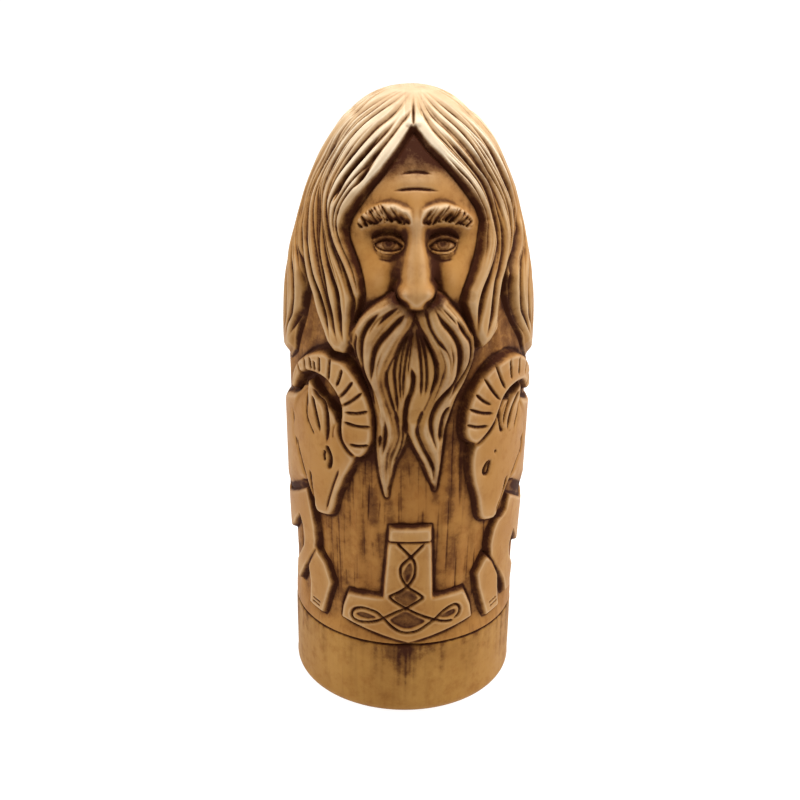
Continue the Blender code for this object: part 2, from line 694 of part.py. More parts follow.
# Rams: each side has its own head and forelegs, and the flanks mirror each other
RAM_OUTLINES = {
    "left": {
        "horn": [(-67.3, 47.5), (-65.3, 50.0), (-59.8, 52.7), (-51.3, 55.0), (-42.3, 56.0),
                 (-31.8, 55.4), (-25.3, 52.9), (-20.3, 49.8), (-18.0, 45.9), (-18.0, 41.7),
                 (-20.3, 39.3), (-23.8, 37.9), (-29.3, 38.7), (-33.4, 41.6), (-32.6, 45.1),
                 (-34.4, 48.4), (-38.3, 50.3), (-43.8, 51.2), (-53.3, 51.3), (-60.3, 49.7),
                 (-63.8, 47.9)],
        "ear": [(-51.3, 50.3), (-47.3, 48.5), (-42.8, 47.0), (-40.4, 44.6), (-40.8, 40.1),
                (-46.8, 39.9), (-52.3, 41.9), (-54.8, 45.5)],
        "head": [(-41.3, 47.1), (-36.3, 45.3), (-34.8, 41.6), (-30.3, 39.3), (-26.8, 37.6),
                 (-29.8, 33.9), (-34.3, 30.6), (-37.3, 26.5), (-39.3, 24.9), (-43.3, 24.4),
                 (-48.3, 24.4), (-51.3, 26.5), (-54.8, 29.2), (-59.8, 32.0), (-63.8, 34.7),
                 (-63.3, 39.3), (-57.8, 45.1), (-48.8, 47.9)],
        "bent_foreleg": [(-84.8, 21.6), (-75.8, 24.1), (-63.8, 26.0), (-56.3, 27.7),
                         (-50.3, 24.0), (-49.3, 20.3), (-50.8, 16.8), (-59.3, 11.6),
                         (-69.3, 5.6), (-74.3, 6.9), (-71.8, 11.2), (-63.8, 14.9),
                         (-61.8, 17.8), (-64.8, 19.6), (-74.8, 15.6), (-85.3, 12.5)],
        "straight_foreleg": [(-49.8, 16.3), (-44.3, 13.8), (-40.3, 10.5), (-43.3, 7.5),
                             (-47.3, 2.5), (-57.8, 3.1), (-55.3, 7.0), (-54.8, 10.8),
                             (-55.8, 13.2)],
    },
    "right": {
        "horn": [(76.3, 46.0), (73.8, 49.6), (67.3, 52.2), (59.8, 54.0), (52.3, 55.0),
                 (44.3, 54.7), (36.8, 53.9), (30.8, 51.8), (26.3, 48.9), (23.8, 44.6),
                 (24.8, 41.6), (29.8, 40.1), (34.8, 41.1), (40.3, 43.2), (43.1, 45.5),
                 (45.8, 47.5), (50.8, 48.8), (58.8, 49.0), (65.8, 48.0), (71.3, 45.7)],
        "ear": [(61.8, 48.2), (55.3, 46.0), (49.3, 44.2), (47.4, 41.7), (49.3, 39.4),
                (54.3, 39.3), (57.8, 42.2), (60.3, 45.5)],
        "head": [(45.3, 47.1), (39.8, 43.1), (34.3, 40.9), (29.3, 39.8), (27.8, 36.8),
                 (28.8, 33.1), (32.3, 28.7), (34.8, 24.6), (40.3, 23.6), (45.3, 23.7),
                 (50.3, 26.5), (55.8, 30.0), (62.3, 32.8), (67.3, 34.7), (64.8, 39.7),
                 (56.8, 44.7)],
        "bent_foreleg": [(54.8, 25.7), (58.8, 26.0), (64.8, 24.7), (75.8, 22.2), (83.8, 20.8),
                         (83.8, 12.8), (74.8, 14.8), (65.3, 17.9), (61.8, 15.8), (64.8, 11.2),
                         (68.8, 8.2), (68.3, 4.7), (60.3, 4.7), (56.3, 8.5), (48.3, 13.0),
                         (44.1, 16.6), (44.4, 20.9), (49.3, 23.6)],
        "straight_foreleg": [(42.8, 15.0), (38.3, 14.5), (35.3, 12.5), (39.0, 7.4),
                             (44.0, 2.4), (54.0, 2.7), (51.3, 5.9), (48.6, 9.5),
                             (45.4, 12.8)],
    },
}
FLANK_RIGHT = [(54.0, 47.4), (62.0, 45.8), (70.0, 44.5), (78.0, 43.3), (86.0, 42.5),
               (94.0, 42.0), (104.0, 41.6), (118.0, 40.4), (129.0, 37.7), (135.5, 32.6),
               (136.5, 26.9), (128.0, 24.6),
               (114.0, 23.9), (100.0, 23.6), (92.0, 23.2), (86.0, 24.2), (76.0, 26.0),
               (62.0, 28.9), (50.0, 31.4), (46.0, 38.8)]
HAUNCH_RIGHT = [(118.0, 24.0), (126.0, 24.6), (136.4, 26.6), (139.0, 22.3), (136.5, 17.8),
                (133.0, 14.0), (131.5, 9.5), (133.0, 4.5), (134.5, 1.0), (125.0, 1.0),
                (124.0, 5.0), (122.5, 9.9), (124.0, 14.9), (119.0, 18.6)]
THIGH_RIGHT = [(103.0, 24.0), (116.5, 23.9), (117.6, 19.0), (115.0, 14.0), (110.5, 10.3),
               (109.0, 5.8), (110.0, 1.0), (101.0, 1.0), (101.5, 5.8), (102.0, 10.3),
               (105.0, 14.9), (101.5, 19.8)]
TAIL_RIGHT = [(130.5, 37.4), (136.5, 36.0), (142.0, 32.2), (143.0, 27.3), (140.0, 27.6),
              (137.6, 30.6)]


def arc(width, z):
    """Half of a width along the skin, as an angle at height z."""
    return math.degrees(width / 2.0 / SKIN.radius(z))


def hammer_outlines():
    """The hammer's three pieces, stacked up from the keel of its head."""
    keel = PLINTH_HEIGHT + HAMMER_LIFT
    end_low = keel + HAMMER_KEEL
    end_high = end_low + HAMMER_END_HEIGHT
    shoulder = keel + HAMMER_HEAD_HEIGHT
    wide = arc(HAMMER_HEAD_WIDTH, end_low)
    top = arc(HAMMER_TOP_WIDTH, shoulder)
    neck_low = arc(HANDLE_FOOT_WIDTH, shoulder)
    head = [(0.0, keel), (wide * 0.5, end_low - HAMMER_KEEL * 0.48), (wide, end_low),
            (wide * 0.95, end_high), (top, shoulder), (neck_low, shoulder - 0.5),
            (-neck_low, shoulder - 0.5), (-top, shoulder), (-wide * 0.95, end_high),
            (-wide, end_low), (-wide * 0.5, end_low - HAMMER_KEEL * 0.48)]
    foot = shoulder - 0.5 + SIDE_GAP
    neck_high = shoulder + HANDLE_HEIGHT
    slim = arc(HANDLE_TOP_WIDTH, neck_high)
    handle = [(neck_low, foot), (slim, neck_high), (-slim, neck_high), (-neck_low, foot)]
    cap_low = neck_high + SIDE_GAP
    cap_top = cap_low + CAP_HEIGHT
    cut = math.degrees(CAP_CHAMFER / SKIN_RADIUS_WAIST)
    cap = [(slim, cap_low), (slim, cap_top - CAP_CHAMFER), (slim - cut, cap_top),
           (-slim + cut, cap_top), (-slim, cap_top - CAP_CHAMFER), (-slim, cap_low)]
    shapes = {"hammer_head": head, "hammer_handle": handle, "hammer_cap": cap}
    return {name: [(a, share_of(z)) for a, z in points] for name, points in shapes.items()}


def eye_outline(side):
    """An almond round one eye."""
    middle = FACE_CENTRE + side * EYE_ANGLE
    points = []
    for i in range(12):
        t = 2.0 * math.pi * i / 12
        z = EYE_HEIGHT + EYE_LID * math.sin(t)
        points.append((middle + EYE_ANGLE * 0.52 * math.cos(t), share_of(z)))
    return points


def brow_outline(side):
    """A long leaf shape over one eye."""
    upper = []
    lower = []
    for i in range(7):
        t = i / 6
        angle = FACE_CENTRE + side * EYE_ANGLE * (0.34 + 1.5 * t)
        middle = BROW_HEIGHT + BROW_ARCH * math.sin(math.pi * t) - BROW_FALL * t
        half = BROW_THICKNESS * (0.55 + 0.45 * math.sin(math.pi * min(1.0, t * 1.1)))
        upper.append((angle, share_of(middle + half)))
        lower.append((angle, share_of(middle - half)))
    return upper + lower[::-1]


WOOD = (0.56, 0.37, 0.15)
PALE_WOOD = (0.66, 0.47, 0.21)
DARK_WOOD = (0.34, 0.20, 0.085)
PLINTH_WOOD = (0.48, 0.30, 0.11)


def carvings():
    """Every carving as (name, outline, top, seat, colour, cell), uppermost first."""
    pieces = []
    for side, points in (("left", MOUSTACHE_LEFT), ("right", MOUSTACHE_RIGHT)):
        pieces.append(("moustache_" + side, points, rounded(0.2), on_core, PALE_WOOD, CELL))
    pieces.append(("beard_lock_left", BEARD_LEFT, rounded(0.5, 0.6, 1.6), on_core, WOOD, CELL))
    pieces.append(("beard_lock_right", BEARD_RIGHT, rounded(0.4, 0.6, 1.6), on_core, WOOD, CELL))
    pieces.append(("beard_chin", BEARD_CHIN, rounded(1.1, 0.3, 1.6), on_core, WOOD, CELL))
    fronts = (("hair_left_front", HAIR_LEFT_FRONT), ("hair_right_front", HAIR_RIGHT_FRONT))
    for name, points in fronts:
        pieces.append((name, points, rounded(0.0, 1.3, 3.0), on_core, PALE_WOOD, CELL))
    sides = (("hair_left_side", HAIR_LEFT_SIDE), ("hair_right_side", HAIR_RIGHT_SIDE))
    for name, points in sides:
        pieces.append((name, points, rounded(0.1, 1.1, 3.0), on_core, WOOD, CELL))
    pieces.append(("hair_back", HAIR_BACK, rounded(0.1, 1.2, 3.5), on_core, WOOD, BACK_CELL))
    for name, points in hammer_outlines().items():
        pieces.append((name, points, rounded(0.3, 0.5, 1.4), on_core, PALE_WOOD, CELL))
    for side, shapes in RAM_OUTLINES.items():
        flank = FLANK_RIGHT if side == "right" else mirrored(FLANK_RIGHT)
        haunch = HAUNCH_RIGHT if side == "right" else mirrored(HAUNCH_RIGHT)
        thigh = THIGH_RIGHT if side == "right" else mirrored(THIGH_RIGHT)
        tail = TAIL_RIGHT if side == "right" else mirrored(TAIL_RIGHT)
        tag = "ram_" + side + "_"
        pieces.append((tag + "horn", shapes["horn"], rounded(0.0, 1.0, 2.4), on_core, PALE_WOOD, CELL))
        pieces.append((tag + "ear", shapes["ear"], rounded(0.5, 0.7, 1.8), on_core, WOOD, CELL))
        pieces.append((tag + "head", shapes["head"], rounded(0.2, 1.2, 3.4), on_core, WOOD, CELL))
        for leg in ("bent_foreleg", "straight_foreleg"):
            pieces.append((tag + leg, shapes[leg], rounded(0.3, 0.8, 2.0), on_core, WOOD, CELL))
        pieces.append((tag + "flank", flank, rounded(0.1, 1.2, 4.0), on_core, WOOD, BACK_CELL))
        pieces.append((tag + "haunch", haunch, rounded(0.3, 0.9, 2.4), on_core, WOOD, CELL))
        pieces.append((tag + "thigh", thigh, rounded(0.6, 0.7, 2.2), on_core, WOOD, CELL))
        pieces.append((tag + "tail", tail, rounded(0.4, 0.6, 1.4), on_core, WOOD, CELL))
    for side, sign in (("left", -1.0), ("right", 1.0)):
        pieces.append(("brow_" + side, brow_outline(sign), brow_top, in_pocket, PALE_WOOD, 2.0))
    for side, sign in (("left", -1.0), ("right", 1.0)):
        pieces.append(("eye_" + side, eye_outline(sign), eye_top, in_pocket, WOOD, 1.6))
    pieces.append(("face", FACE, face_top, in_pocket, WOOD, 2.1))
    return pieces


def close_by(ring, other):
    """Whether two outlines come near each other."""
    reach = 2.0
    for axis in (0, 1):
        if min(p[axis] for p in ring) > max(p[axis] for p in other) + reach:
            return False
        if max(p[axis] for p in ring) < min(p[axis] for p in other) - reach:
            return False
    return True


def make_carvings():
    """Make each carving, cut back from the ones above it in the list."""
    done = []
    for name, points, top, seat, colour, cell in carvings():
        ring = outline(points)
        others = [other for other in done if close_by(ring, other)]
        grooves, crests = lock_rows(locks_of(name))
        places, triangles = region(ring, others, cell, grooves + crests)
        if grooves:
            top = grooved(top, grooves)
        paint(slab(name, places, triangles, top, seat), colour)
        done.append(ring)


def make_log():
    """The log: body and head core in one, with a pocket for the face."""
    foot = PLINTH_HEIGHT + SEAT_GAP
    profile = [(0.0, foot)]
    low = SKIN.down(foot)
    waist = SKIN.down(WAIST_HEIGHT)
    neck = SKIN.down(SHOULDER_HEIGHT - HEM_BLEND)
    rows = [low, waist, (waist + neck) / 2.0]
    count = round(neck / CELL)
    rows += [neck * i / count for i in range(count, 0, -1)]
    for u in rows:
        r, z, out, up = SKIN.at(u)
        depth = core_depth(u)
        profile.append((r - depth * out, foot if u == low else z - depth * up))
    profile.append((0.0, TOTAL_HEIGHT - HAIR_SEAT_DEPTH))
    log = turned("log", profile, CORE_SEGMENTS)
    paint(log, DARK_WOOD, 0.6)
    ring = grown(outline(FACE), SIDE_GAP)
    places, triangles = region(ring, [], CELL)
    cutter = slab("face_pocket_cutter", places, triangles, lambda a, u, e: -CUTTER_REACH,
                  lambda a, u: FACE_SEAT_DEPTH)
    cutter.hide_render = True
    cutter.display_type = "WIRE"
    pocket = log.modifiers.new("face_pocket", "BOOLEAN")
    pocket.operation = "DIFFERENCE"
    pocket.solver = "EXACT"
    pocket.object = cutter


def make_plinth():
    """The round foot, with a soft lower edge and a small round at the top."""
    profile = [(0.0, 0.0)]
    for i in range(FOOT_STEPS + 1):
        t = math.pi / 2.0 * i / FOOT_STEPS
        profile.append((PLINTH_RADIUS - PLINTH_FOOT_ROUND * (1.0 - math.sin(t)),
                        PLINTH_FOOT_ROUND * (1.0 - math.cos(t))))
    for i in range(TOP_STEPS + 1):
        t = math.pi / 2.0 * i / TOP_STEPS
        profile.append((PLINTH_RADIUS - PLINTH_TOP_ROUND * (1.0 - math.cos(t)),
                        PLINTH_HEIGHT - PLINTH_TOP_ROUND * (1.0 - math.sin(t))))
    profile.append((0.0, PLINTH_HEIGHT))
    paint(turned("plinth", profile, PLINTH_SEGMENTS), PLINTH_WOOD, 0.5)


def main():
    for obj in list(bpy.data.objects):
        bpy.data.objects.remove(obj, do_unlink=True)
    make_plinth()
    make_log()
    make_carvings()


main()
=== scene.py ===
"""Looks of the carved log idol.

The whole carving is one relief. For every place on the log's skin, given by its angle round the
log and its distance down from the crown, the script works out how deep the carver cut. Regions
raise or sink their part of the relief, grooves draw the strands, and each region's part of the
surface then becomes the piece that replaces its node. Lengths are in mm until a mesh is made.
"""
import math

import bpy
import numpy as np
from mathutils import Euler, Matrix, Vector
from mathutils.geometry import delaunay_2d_cdt


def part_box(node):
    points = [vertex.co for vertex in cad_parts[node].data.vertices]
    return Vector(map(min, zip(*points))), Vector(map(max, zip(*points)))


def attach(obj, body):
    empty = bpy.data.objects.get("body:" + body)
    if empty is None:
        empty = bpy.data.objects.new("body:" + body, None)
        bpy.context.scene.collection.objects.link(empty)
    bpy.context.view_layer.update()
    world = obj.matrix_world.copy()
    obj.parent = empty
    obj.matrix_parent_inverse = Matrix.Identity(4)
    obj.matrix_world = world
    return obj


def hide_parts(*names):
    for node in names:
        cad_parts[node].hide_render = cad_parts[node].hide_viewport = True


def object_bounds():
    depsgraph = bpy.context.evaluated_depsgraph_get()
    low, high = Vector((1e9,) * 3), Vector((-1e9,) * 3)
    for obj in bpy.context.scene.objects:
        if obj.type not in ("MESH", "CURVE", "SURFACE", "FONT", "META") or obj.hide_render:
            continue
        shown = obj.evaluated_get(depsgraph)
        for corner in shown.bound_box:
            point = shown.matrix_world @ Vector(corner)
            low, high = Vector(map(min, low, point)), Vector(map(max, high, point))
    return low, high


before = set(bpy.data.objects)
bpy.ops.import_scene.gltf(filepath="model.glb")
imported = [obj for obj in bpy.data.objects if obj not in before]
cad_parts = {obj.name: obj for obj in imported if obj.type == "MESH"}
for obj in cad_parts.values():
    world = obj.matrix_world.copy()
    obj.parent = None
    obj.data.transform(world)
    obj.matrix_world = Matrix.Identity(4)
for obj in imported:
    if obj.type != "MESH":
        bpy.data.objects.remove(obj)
CAD_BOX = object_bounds()
MM = 0.001
SEED = 11
SIDES = {"left": -1.0, "right": 1.0}

# The log's skin
TOTAL_HEIGHT = CAD_BOX[1][2] / MM
PLINTH_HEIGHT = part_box("plinth")[1][2] / MM
PLINTH_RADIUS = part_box("plinth")[1][0] / MM
SHOULDER = 88.0
WAIST = 44.0
RADIUS_FOOT = 26.4
RADIUS_WAIST = 27.4
RADIUS_SHOULDER = 28.2
DOME_POWER = 1.95
LOG_FOOT = PLINTH_HEIGHT + 0.3

# Mesh sizes
SKIN_STEPS = 6001
ROW_STEP = 0.22
FRONT_ANGLE = 104.0
FRONT_STEP = 0.42
BACK_STEP = 0.75
CURVE_STEP = 0.7
STRAND_POINTS = 60
CAP_CELL = 3.2

# Depths below the skin
GROUND = 1.5
SIDE_GROUND = 1.3
RECESS = 3.4
SIDE_RECESS = 1.9
SEAT = 4.3
SEAT_HEAD = 5.2
SEAT_FACE = 9.0
CAP_GAP = 0.12
CREASE = 0.34
CHEST_SUNK = 0.7
FLARE_DEPTH = 0.5
BELLY_DEPTH = 0.75

# Distances over which the relief is blurred, and how far a node reaches past its outline
WALL_BLUR = 0.34
FINE_BLUR = 0.42
MIDDLE_BLUR = 1.0
BROAD_BLUR = 2.2
WASH_AND_SHADE_BLUR = 0.3
HALO_BLUR = 0.6
WIDE_HALO_BLUR = 4.2
MARGIN = 0.3

# Ramps, as where each starts and over what run: an angle from the front, then heights
SIDE_RAMP = (50.0, 30.0)
CHEST_RAMP = (52.0, 16.0)
HEM_RAMP = (83.0, 9.0)
FLARE_RUN = 5.5
SIDE_FLARE_RUN = 5.0
CROWN_RAMP = (124.0, 10.0)
TIP_RAMP = (134.5, 4.5)
UNDER_HAIR_RAMP = (81.0, 6.0)
# Painted highlight towards the crown: less wash, and paler colour
CROWN_HIGHLIGHT_WASH_RAMP = (120.0, 14.0)
CROWN_HIGHLIGHT_RAMP = (108.0, 29.0)


def ease(t):
    """Smooth step from 0 to 1."""
    t = np.clip(t, 0.0, 1.0)
    return t * t * (3.0 - 2.0 * t)


def rise(x, start, run):
    """Smooth step up from 0 at the start to 1 after the run."""
    return ease((x - start) / run)


def share(x, start, run):
    """Even climb from 0 at the start to 1 after the run."""
    return np.clip((x - start) / run, 0.0, 1.0)


def within(s, blur):
    """1 inside an outline and 0 outside, eased over a blur from distances inside it."""
    return ease(0.5 + s / blur)


def bell(x, width):
    """A smooth bump of height 1."""
    return np.exp(-(x / width) ** 2)


def skin_radius(z):
    """Radius of the skin at each height."""
    t = np.clip((z - SHOULDER) / (TOTAL_HEIGHT - SHOULDER), 0.0, 1.0)
    dome = RADIUS_SHOULDER * np.sqrt(np.clip(1.0 - t ** DOME_POWER, 0.0, 1.0))
    side = np.interp(z, [PLINTH_HEIGHT, WAIST, SHOULDER],
                     [RADIUS_FOOT, RADIUS_WAIST, RADIUS_SHOULDER])
    return np.where(z > SHOULDER, dome, side)


class Skin:
    """Lookups between height, distance from the crown, radius and normal."""

    def __init__(self):
        q = np.linspace(0.0, 1.0, SKIN_STEPS)
        self.z = TOTAL_HEIGHT * (1.0 - q ** 2)
        self.r = skin_radius(self.z)
        self.u = np.concatenate([[0.0], np.cumsum(np.hypot(np.diff(self.r), np.diff(self.z)))])
        self.out = -np.gradient(self.z, self.u)
        self.up = np.gradient(self.r, self.u)

    def down(self, z):
        """Distance from the crown at each height."""
        return np.interp(z, self.z[::-1], self.u[::-1])

    def at(self, u):
        """Radius, height and the normal's outward and upward parts at each distance."""
        return [np.interp(u, self.u, values) for values in (self.r, self.z, self.out, self.up)]

    def place(self, angle, u, depth=0.0):
        """Points at a depth below the skin."""
        r, z, out, up = self.at(u)
        a = np.radians(angle)
        r = r - depth * out
        parts = np.broadcast_arrays(r * np.sin(a), -r * np.cos(a), z - depth * up)
        return np.stack(parts, axis=-1)


# The grid, one row for each distance from the crown and one column for each angle
SKIN = Skin()
U_FOOT = float(SKIN.down(LOG_FOOT))
ROWS = np.linspace(0.0, U_FOOT, int(U_FOOT / ROW_STEP))
FRONT = np.arange(-FRONT_ANGLE, FRONT_ANGLE, FRONT_STEP)
BACK = np.linspace(FRONT_ANGLE, 360.0 - FRONT_ANGLE, int((360.0 - 2 * FRONT_ANGLE) / BACK_STEP),
                   endpoint=False)
ANGLES = np.concatenate([FRONT, BACK])
NR = len(ROWS)
NC = len(ANGLES)
ROW_R, ROW_Z, ROW_OUT, ROW_UP = SKIN.at(ROWS)
SKIN_POINTS = SKIN.place(ANGLES[None, :], ROWS[:, None])
AA = np.radians(ANGLES)
NORMALS = np.stack([ROW_OUT[:, None] * np.sin(AA), -ROW_OUT[:, None] * np.cos(AA),
                    np.repeat(ROW_UP[:, None], NC, axis=1)], axis=-1)
Z = ROW_Z[:, None]
TURN = ((ANGLES + 180.0) % 360.0 - 180.0)[None, :]
AWAY = np.abs(TURN)
rng = np.random.default_rng(SEED)

# The relief: depth below the skin, node, dark wash left by hand and painted shade, and where a
# form stands
DEPTH = np.zeros((NR, NC))
LABEL = np.zeros((NR, NC), int)
STAIN_AND_SHADE = np.zeros((NR, NC))
RELIEF = np.zeros((NR, NC))
MASKS = {}
NAMES = ["log"]


def on_grid(angle):
    """An angle as the grid counts it, from its first column on."""
    return (angle - ANGLES[0]) % 360.0 + ANGLES[0]


class Window:
    """A block of the grid round a stretch of angles and distances."""

    def __init__(self, a_low, a_high, u_low, u_high, reach):
        self.r0 = int(np.searchsorted(ROWS, u_low - reach))
        self.r1 = int(np.searchsorted(ROWS, u_high + reach))
        near = ROW_R[self.r0:max(self.r1, self.r0 + 1)]
        slim = float(near.min()) if len(near) else 0.0
        spread = math.degrees(reach / max(slim, 0.5)) if slim > 1.5 * reach else 360.0
        span = a_high - a_low + 2.0 * spread
        if span >= 350.0:
            self.c0 = 0
            self.n = NC
            return
        start = on_grid(a_low - spread)
        self.c0 = int(np.searchsorted(ANGLES, start)) % NC
        end = start + span
        if end < ANGLES[0] + 360.0:
            self.n = int(np.searchsorted(ANGLES, end)) - self.c0
        else:
            self.n = NC - self.c0 + int(np.searchsorted(ANGLES, end - 360.0))
        if start > ANGLES[-1]:
            self.c0 = 0
        self.n = max(1, min(NC, self.n))

    def index(self):
        """Its rows and columns, as an index of the grid's arrays."""
        return np.ix_(np.arange(self.r0, self.r1), (self.c0 + np.arange(self.n)) % NC)


def smooth_curve(points, closed=False, straight=False):
    """Angles and distances along a curve through (angle, height) points."""
    a = np.array([p[0] for p in points], float)
    u = SKIN.down(np.array([p[1] for p in points], float))
    n = len(a)
    out_a = []
    out_u = []
    for i in range(n if closed else n - 1):
        if closed:
            i0, i1, i2, i3 = (i - 1) % n, i, (i + 1) % n, (i + 2) % n
        else:
            i0, i1, i2, i3 = max(i - 1, 0), i, i + 1, min(i + 2, n - 1)
        r = max(float(np.interp((u[i1] + u[i2]) / 2, SKIN.u, SKIN.r)), 1.0)
        length = math.hypot(math.radians(a[i2] - a[i1]) * r, u[i2] - u[i1])
        steps = max(1, math.ceil(length / CURVE_STEP))
        t = np.arange(steps) / steps
        for values, out in ((a, out_a), (u, out_u)):
            p0, p1, p2, p3 = values[i0], values[i1], values[i2], values[i3]
            if straight:
                out.append(p1 + t * (p2 - p1))
            else:
                out.append(0.5 * (2 * p1 + (p2 - p0) * t + (2 * p0 - 5 * p1 + 4 * p2 - p3) * t ** 2
                                  + (3 * p1 - p0 - 3 * p2 + p3) * t ** 3))
    if not closed:
        out_a.append(a[-1:])
        out_u.append(u[-1:])
    return np.concatenate(out_a), np.clip(np.concatenate(out_u), 0.0, None)


def lengths_along(points):
    """Distance from a line's first point to each of its points."""
    steps = np.linalg.norm(np.diff(points, axis=0), axis=1)
    return np.concatenate([[0.0], np.cumsum(steps)])


def distance_to(a, u, reach, closed=False):
    """A block of the grid, its distance to a curve and how far along the nearest place lies."""
    window = Window(a.min(), a.max(), u.min(), u.max(), reach)
    near = np.full((window.r1 - window.r0, window.n), reach)
    along = np.zeros(near.shape)
    points = SKIN.place(a, u)
    if closed:
        points = np.vstack([points, points[:1]])
        a = np.append(a, a[0])
        u = np.append(u, u[0])
    lengths = lengths_along(points)
    total = max(lengths[-1], 1e-6)
    for i in range(len(points) - 1):
        part = Window(min(a[i], a[i + 1]), max(a[i], a[i + 1]), min(u[i], u[i + 1]),
                      max(u[i], u[i + 1]), reach)
        if part.r1 <= part.r0:
            continue
        run = points[i + 1] - points[i]
        from_start = SKIN_POINTS[part.index()] - points[i]
        k = np.clip((from_start @ run) / max(float(run @ run), 1e-12), 0.0, 1.0)
        d = np.linalg.norm(from_start - k[..., None] * run, axis=-1)
        cols = (part.c0 - window.c0 + np.arange(part.n)) % NC
        keep = cols < window.n
        rows = np.arange(part.r0, part.r1) - window.r0
        block = np.ix_(rows, cols[keep])
        d = d[:, keep]
        better = d < near[block]
        near[block] = np.where(better, d, near[block])
        place = (lengths[i] + k[:, keep] * (lengths[i + 1] - lengths[i])) / total
        along[block] = np.where(better, place, along[block])
    return window.index(), near, along


def inside_of(a, u, index):
    """Whether each grid point of a block lies within a closed curve."""
    columns = ANGLES[index[1][0]]
    if a.max() - a.min() > 340.0:
        x = (columns - a.min()) % 360.0 + a.min()
    else:
        middle = (a.min() + a.max()) / 2.0
        x = (columns - middle + 180.0) % 360.0 - 180.0 + middle
    rows = ROWS[index[0][:, 0]]
    inside = np.zeros((len(rows), len(columns)), bool)
    for a0, u0, a1, u1 in zip(a, u, np.roll(a, -1), np.roll(u, -1)):
        first = np.searchsorted(rows, min(u0, u1), "right")
        last = np.searchsorted(rows, max(u0, u1), "right")
        if last > first:
            cross = a0 + (rows[first:last] - u0) / (u1 - u0) * (a1 - a0)
            inside[first:last] ^= x[None, :] > cross[:, None]
    return inside


def signed(points, reach, straight=False):
    """A block of the grid, with the distance inside a closed outline, negative outside."""
    a, u = smooth_curve(points, closed=True, straight=straight)
    index, near, _ = distance_to(a, u, reach, closed=True)
    return index, np.where(inside_of(a, u, index), near, -near)


def name_piece(name, index, inside):
    """Give the grid inside a form to a node."""
    NAMES.append(name)
    LABEL[index] = np.where(inside, len(NAMES) - 1, LABEL[index])


def darken(index, amount):
    """Leave at least this much dark colour, which is wash in some places and painted shade in
    others.
    """
    STAIN_AND_SHADE[index] = np.maximum(STAIN_AND_SHADE[index], amount)


def raise_region(name, points, top, drop, width, wall=0.7, contour=0.35, reach=3.0,
                 straight=False, form=None, node=True, shift=0.85):
    """Set a form into the relief at its own depth, with eased edges and a cut round its foot."""
    index, s = signed(points, reach, straight)
    below_crown = rise(ROWS[index[0]], 1.5, 9.0)
    m = ease(shift + s / wall)
    depth = top + below_crown * drop * (1.0 - ease(s / width))
    if form is not None:
        depth = depth + form(index, s)
    DEPTH[index] = DEPTH[index] * (1.0 - m) + depth * m
    DEPTH[index] += below_crown * contour * bell(s + shift * wall, CREASE)
    STAIN_AND_SHADE[index] *= 1.0 - m
    if node:
        name_piece(name, index, s > (0.45 - shift) * wall)
    MASKS[name] = np.zeros((NR, NC))
    MASKS[name][index] = m
    RELIEF[index] = np.maximum(RELIEF[index], m)
    return index, s


def groove(points, width, depth, soft=0.0, soft_depth=0.0, start=0.12, end=0.2, mask=None,
           closed=False):
    """Cut a groove along a curve, thin at its ends, with soft shoulders if asked."""
    a, u = points if isinstance(points, tuple) else smooth_curve(points, closed)
    reach = max(width, 2.2 * soft) + 0.1
    index, near, along = distance_to(a, u, reach, closed)
    swell = np.ones_like(near)
    if start > 0.0:
        swell = swell * ease(along / start)
    if end > 0.0:
        swell = swell * ease((1.0 - along) / end)
    cut = depth * swell * np.clip(1.0 - near / (width * (0.4 + 0.6 * swell)), 0.0, 1.0) ** 1.15
    if soft > 0.0:
        cut = cut + soft_depth * swell * bell(near, soft) * (near < reach - 0.05)
    if mask is not None:
        cut = cut * mask[index]
    DEPTH[index] += cut


def melt(line, reach, size):
    """Smooth the relief along a line, where two forms run into each other."""
    index, near, along = distance_to(*smooth_curve(line), reach)
    m = ease(1.7 * (1.0 - near / reach)) * ease(along / 0.12) * ease((1.0 - along) / 0.12)
    DEPTH[index] += m * (blurred(DEPTH, size)[index] - DEPTH[index])


def darken_along(line, width, strength, start=0.3, end=0.3):
    """Leave dark colour along a line: stains on the ground, and painted shade under the belly."""
    index, near, along = distance_to(*smooth_curve(line), 2.2 * width)
    swell = ease(along / start) * ease((1.0 - along) / end)
    darken(index, strength * swell * bell(near, width))


def resampled(curve):
    """A curve's points at even steps along its length."""
    a, u = curve
    length = lengths_along(SKIN.place(a, u))
    even = np.linspace(0.0, length[-1], STRAND_POINTS)
    return np.interp(even, length, a), np.interp(even, length, u)


def between(first, second, part, t0, t1, sway=0.0):
    """A curve that runs between two others, over a part of their length."""
    a0, u0 = resampled(first)
    a1, u1 = resampled(second)
    t = np.linspace(0.0, 1.0, STRAND_POINTS)
    mix = part + sway * np.sin(2.0 * math.pi * (t * 1.3 + part * 3.1))
    keep = (t >= t0) & (t <= t1)
    return (a0 + mix * (a1 - a0))[keep], (u0 + mix * (u1 - u0))[keep]


def comb(lines, mask, main, fine, fine_depth, ends=False):
    """Cut main grooves along the lines, the outer two only if asked, and finer ones between."""
    curves = [smooth_curve(line) for line in lines]
    for curve in curves if ends else curves[1:-1]:
        groove(curve, *main, 0.10, 0.12, mask)
    for first, second in zip(curves, curves[1:]):
        for k in range(fine):
            part = (k + 1) / (fine + 1) + rng.uniform(-0.07, 0.07)
            t0 = rng.uniform(0.0, 0.30)
            t1 = rng.uniform(0.65, 1.0)
            curve = between(first, second, part, t0, t1, rng.uniform(-0.05, 0.05))
            depth = fine_depth * rng.uniform(0.45, 1.6)
            groove(curve, rng.uniform(0.35, 0.62), depth, 0.75, depth * 0.5, 0.25, 0.3, mask)
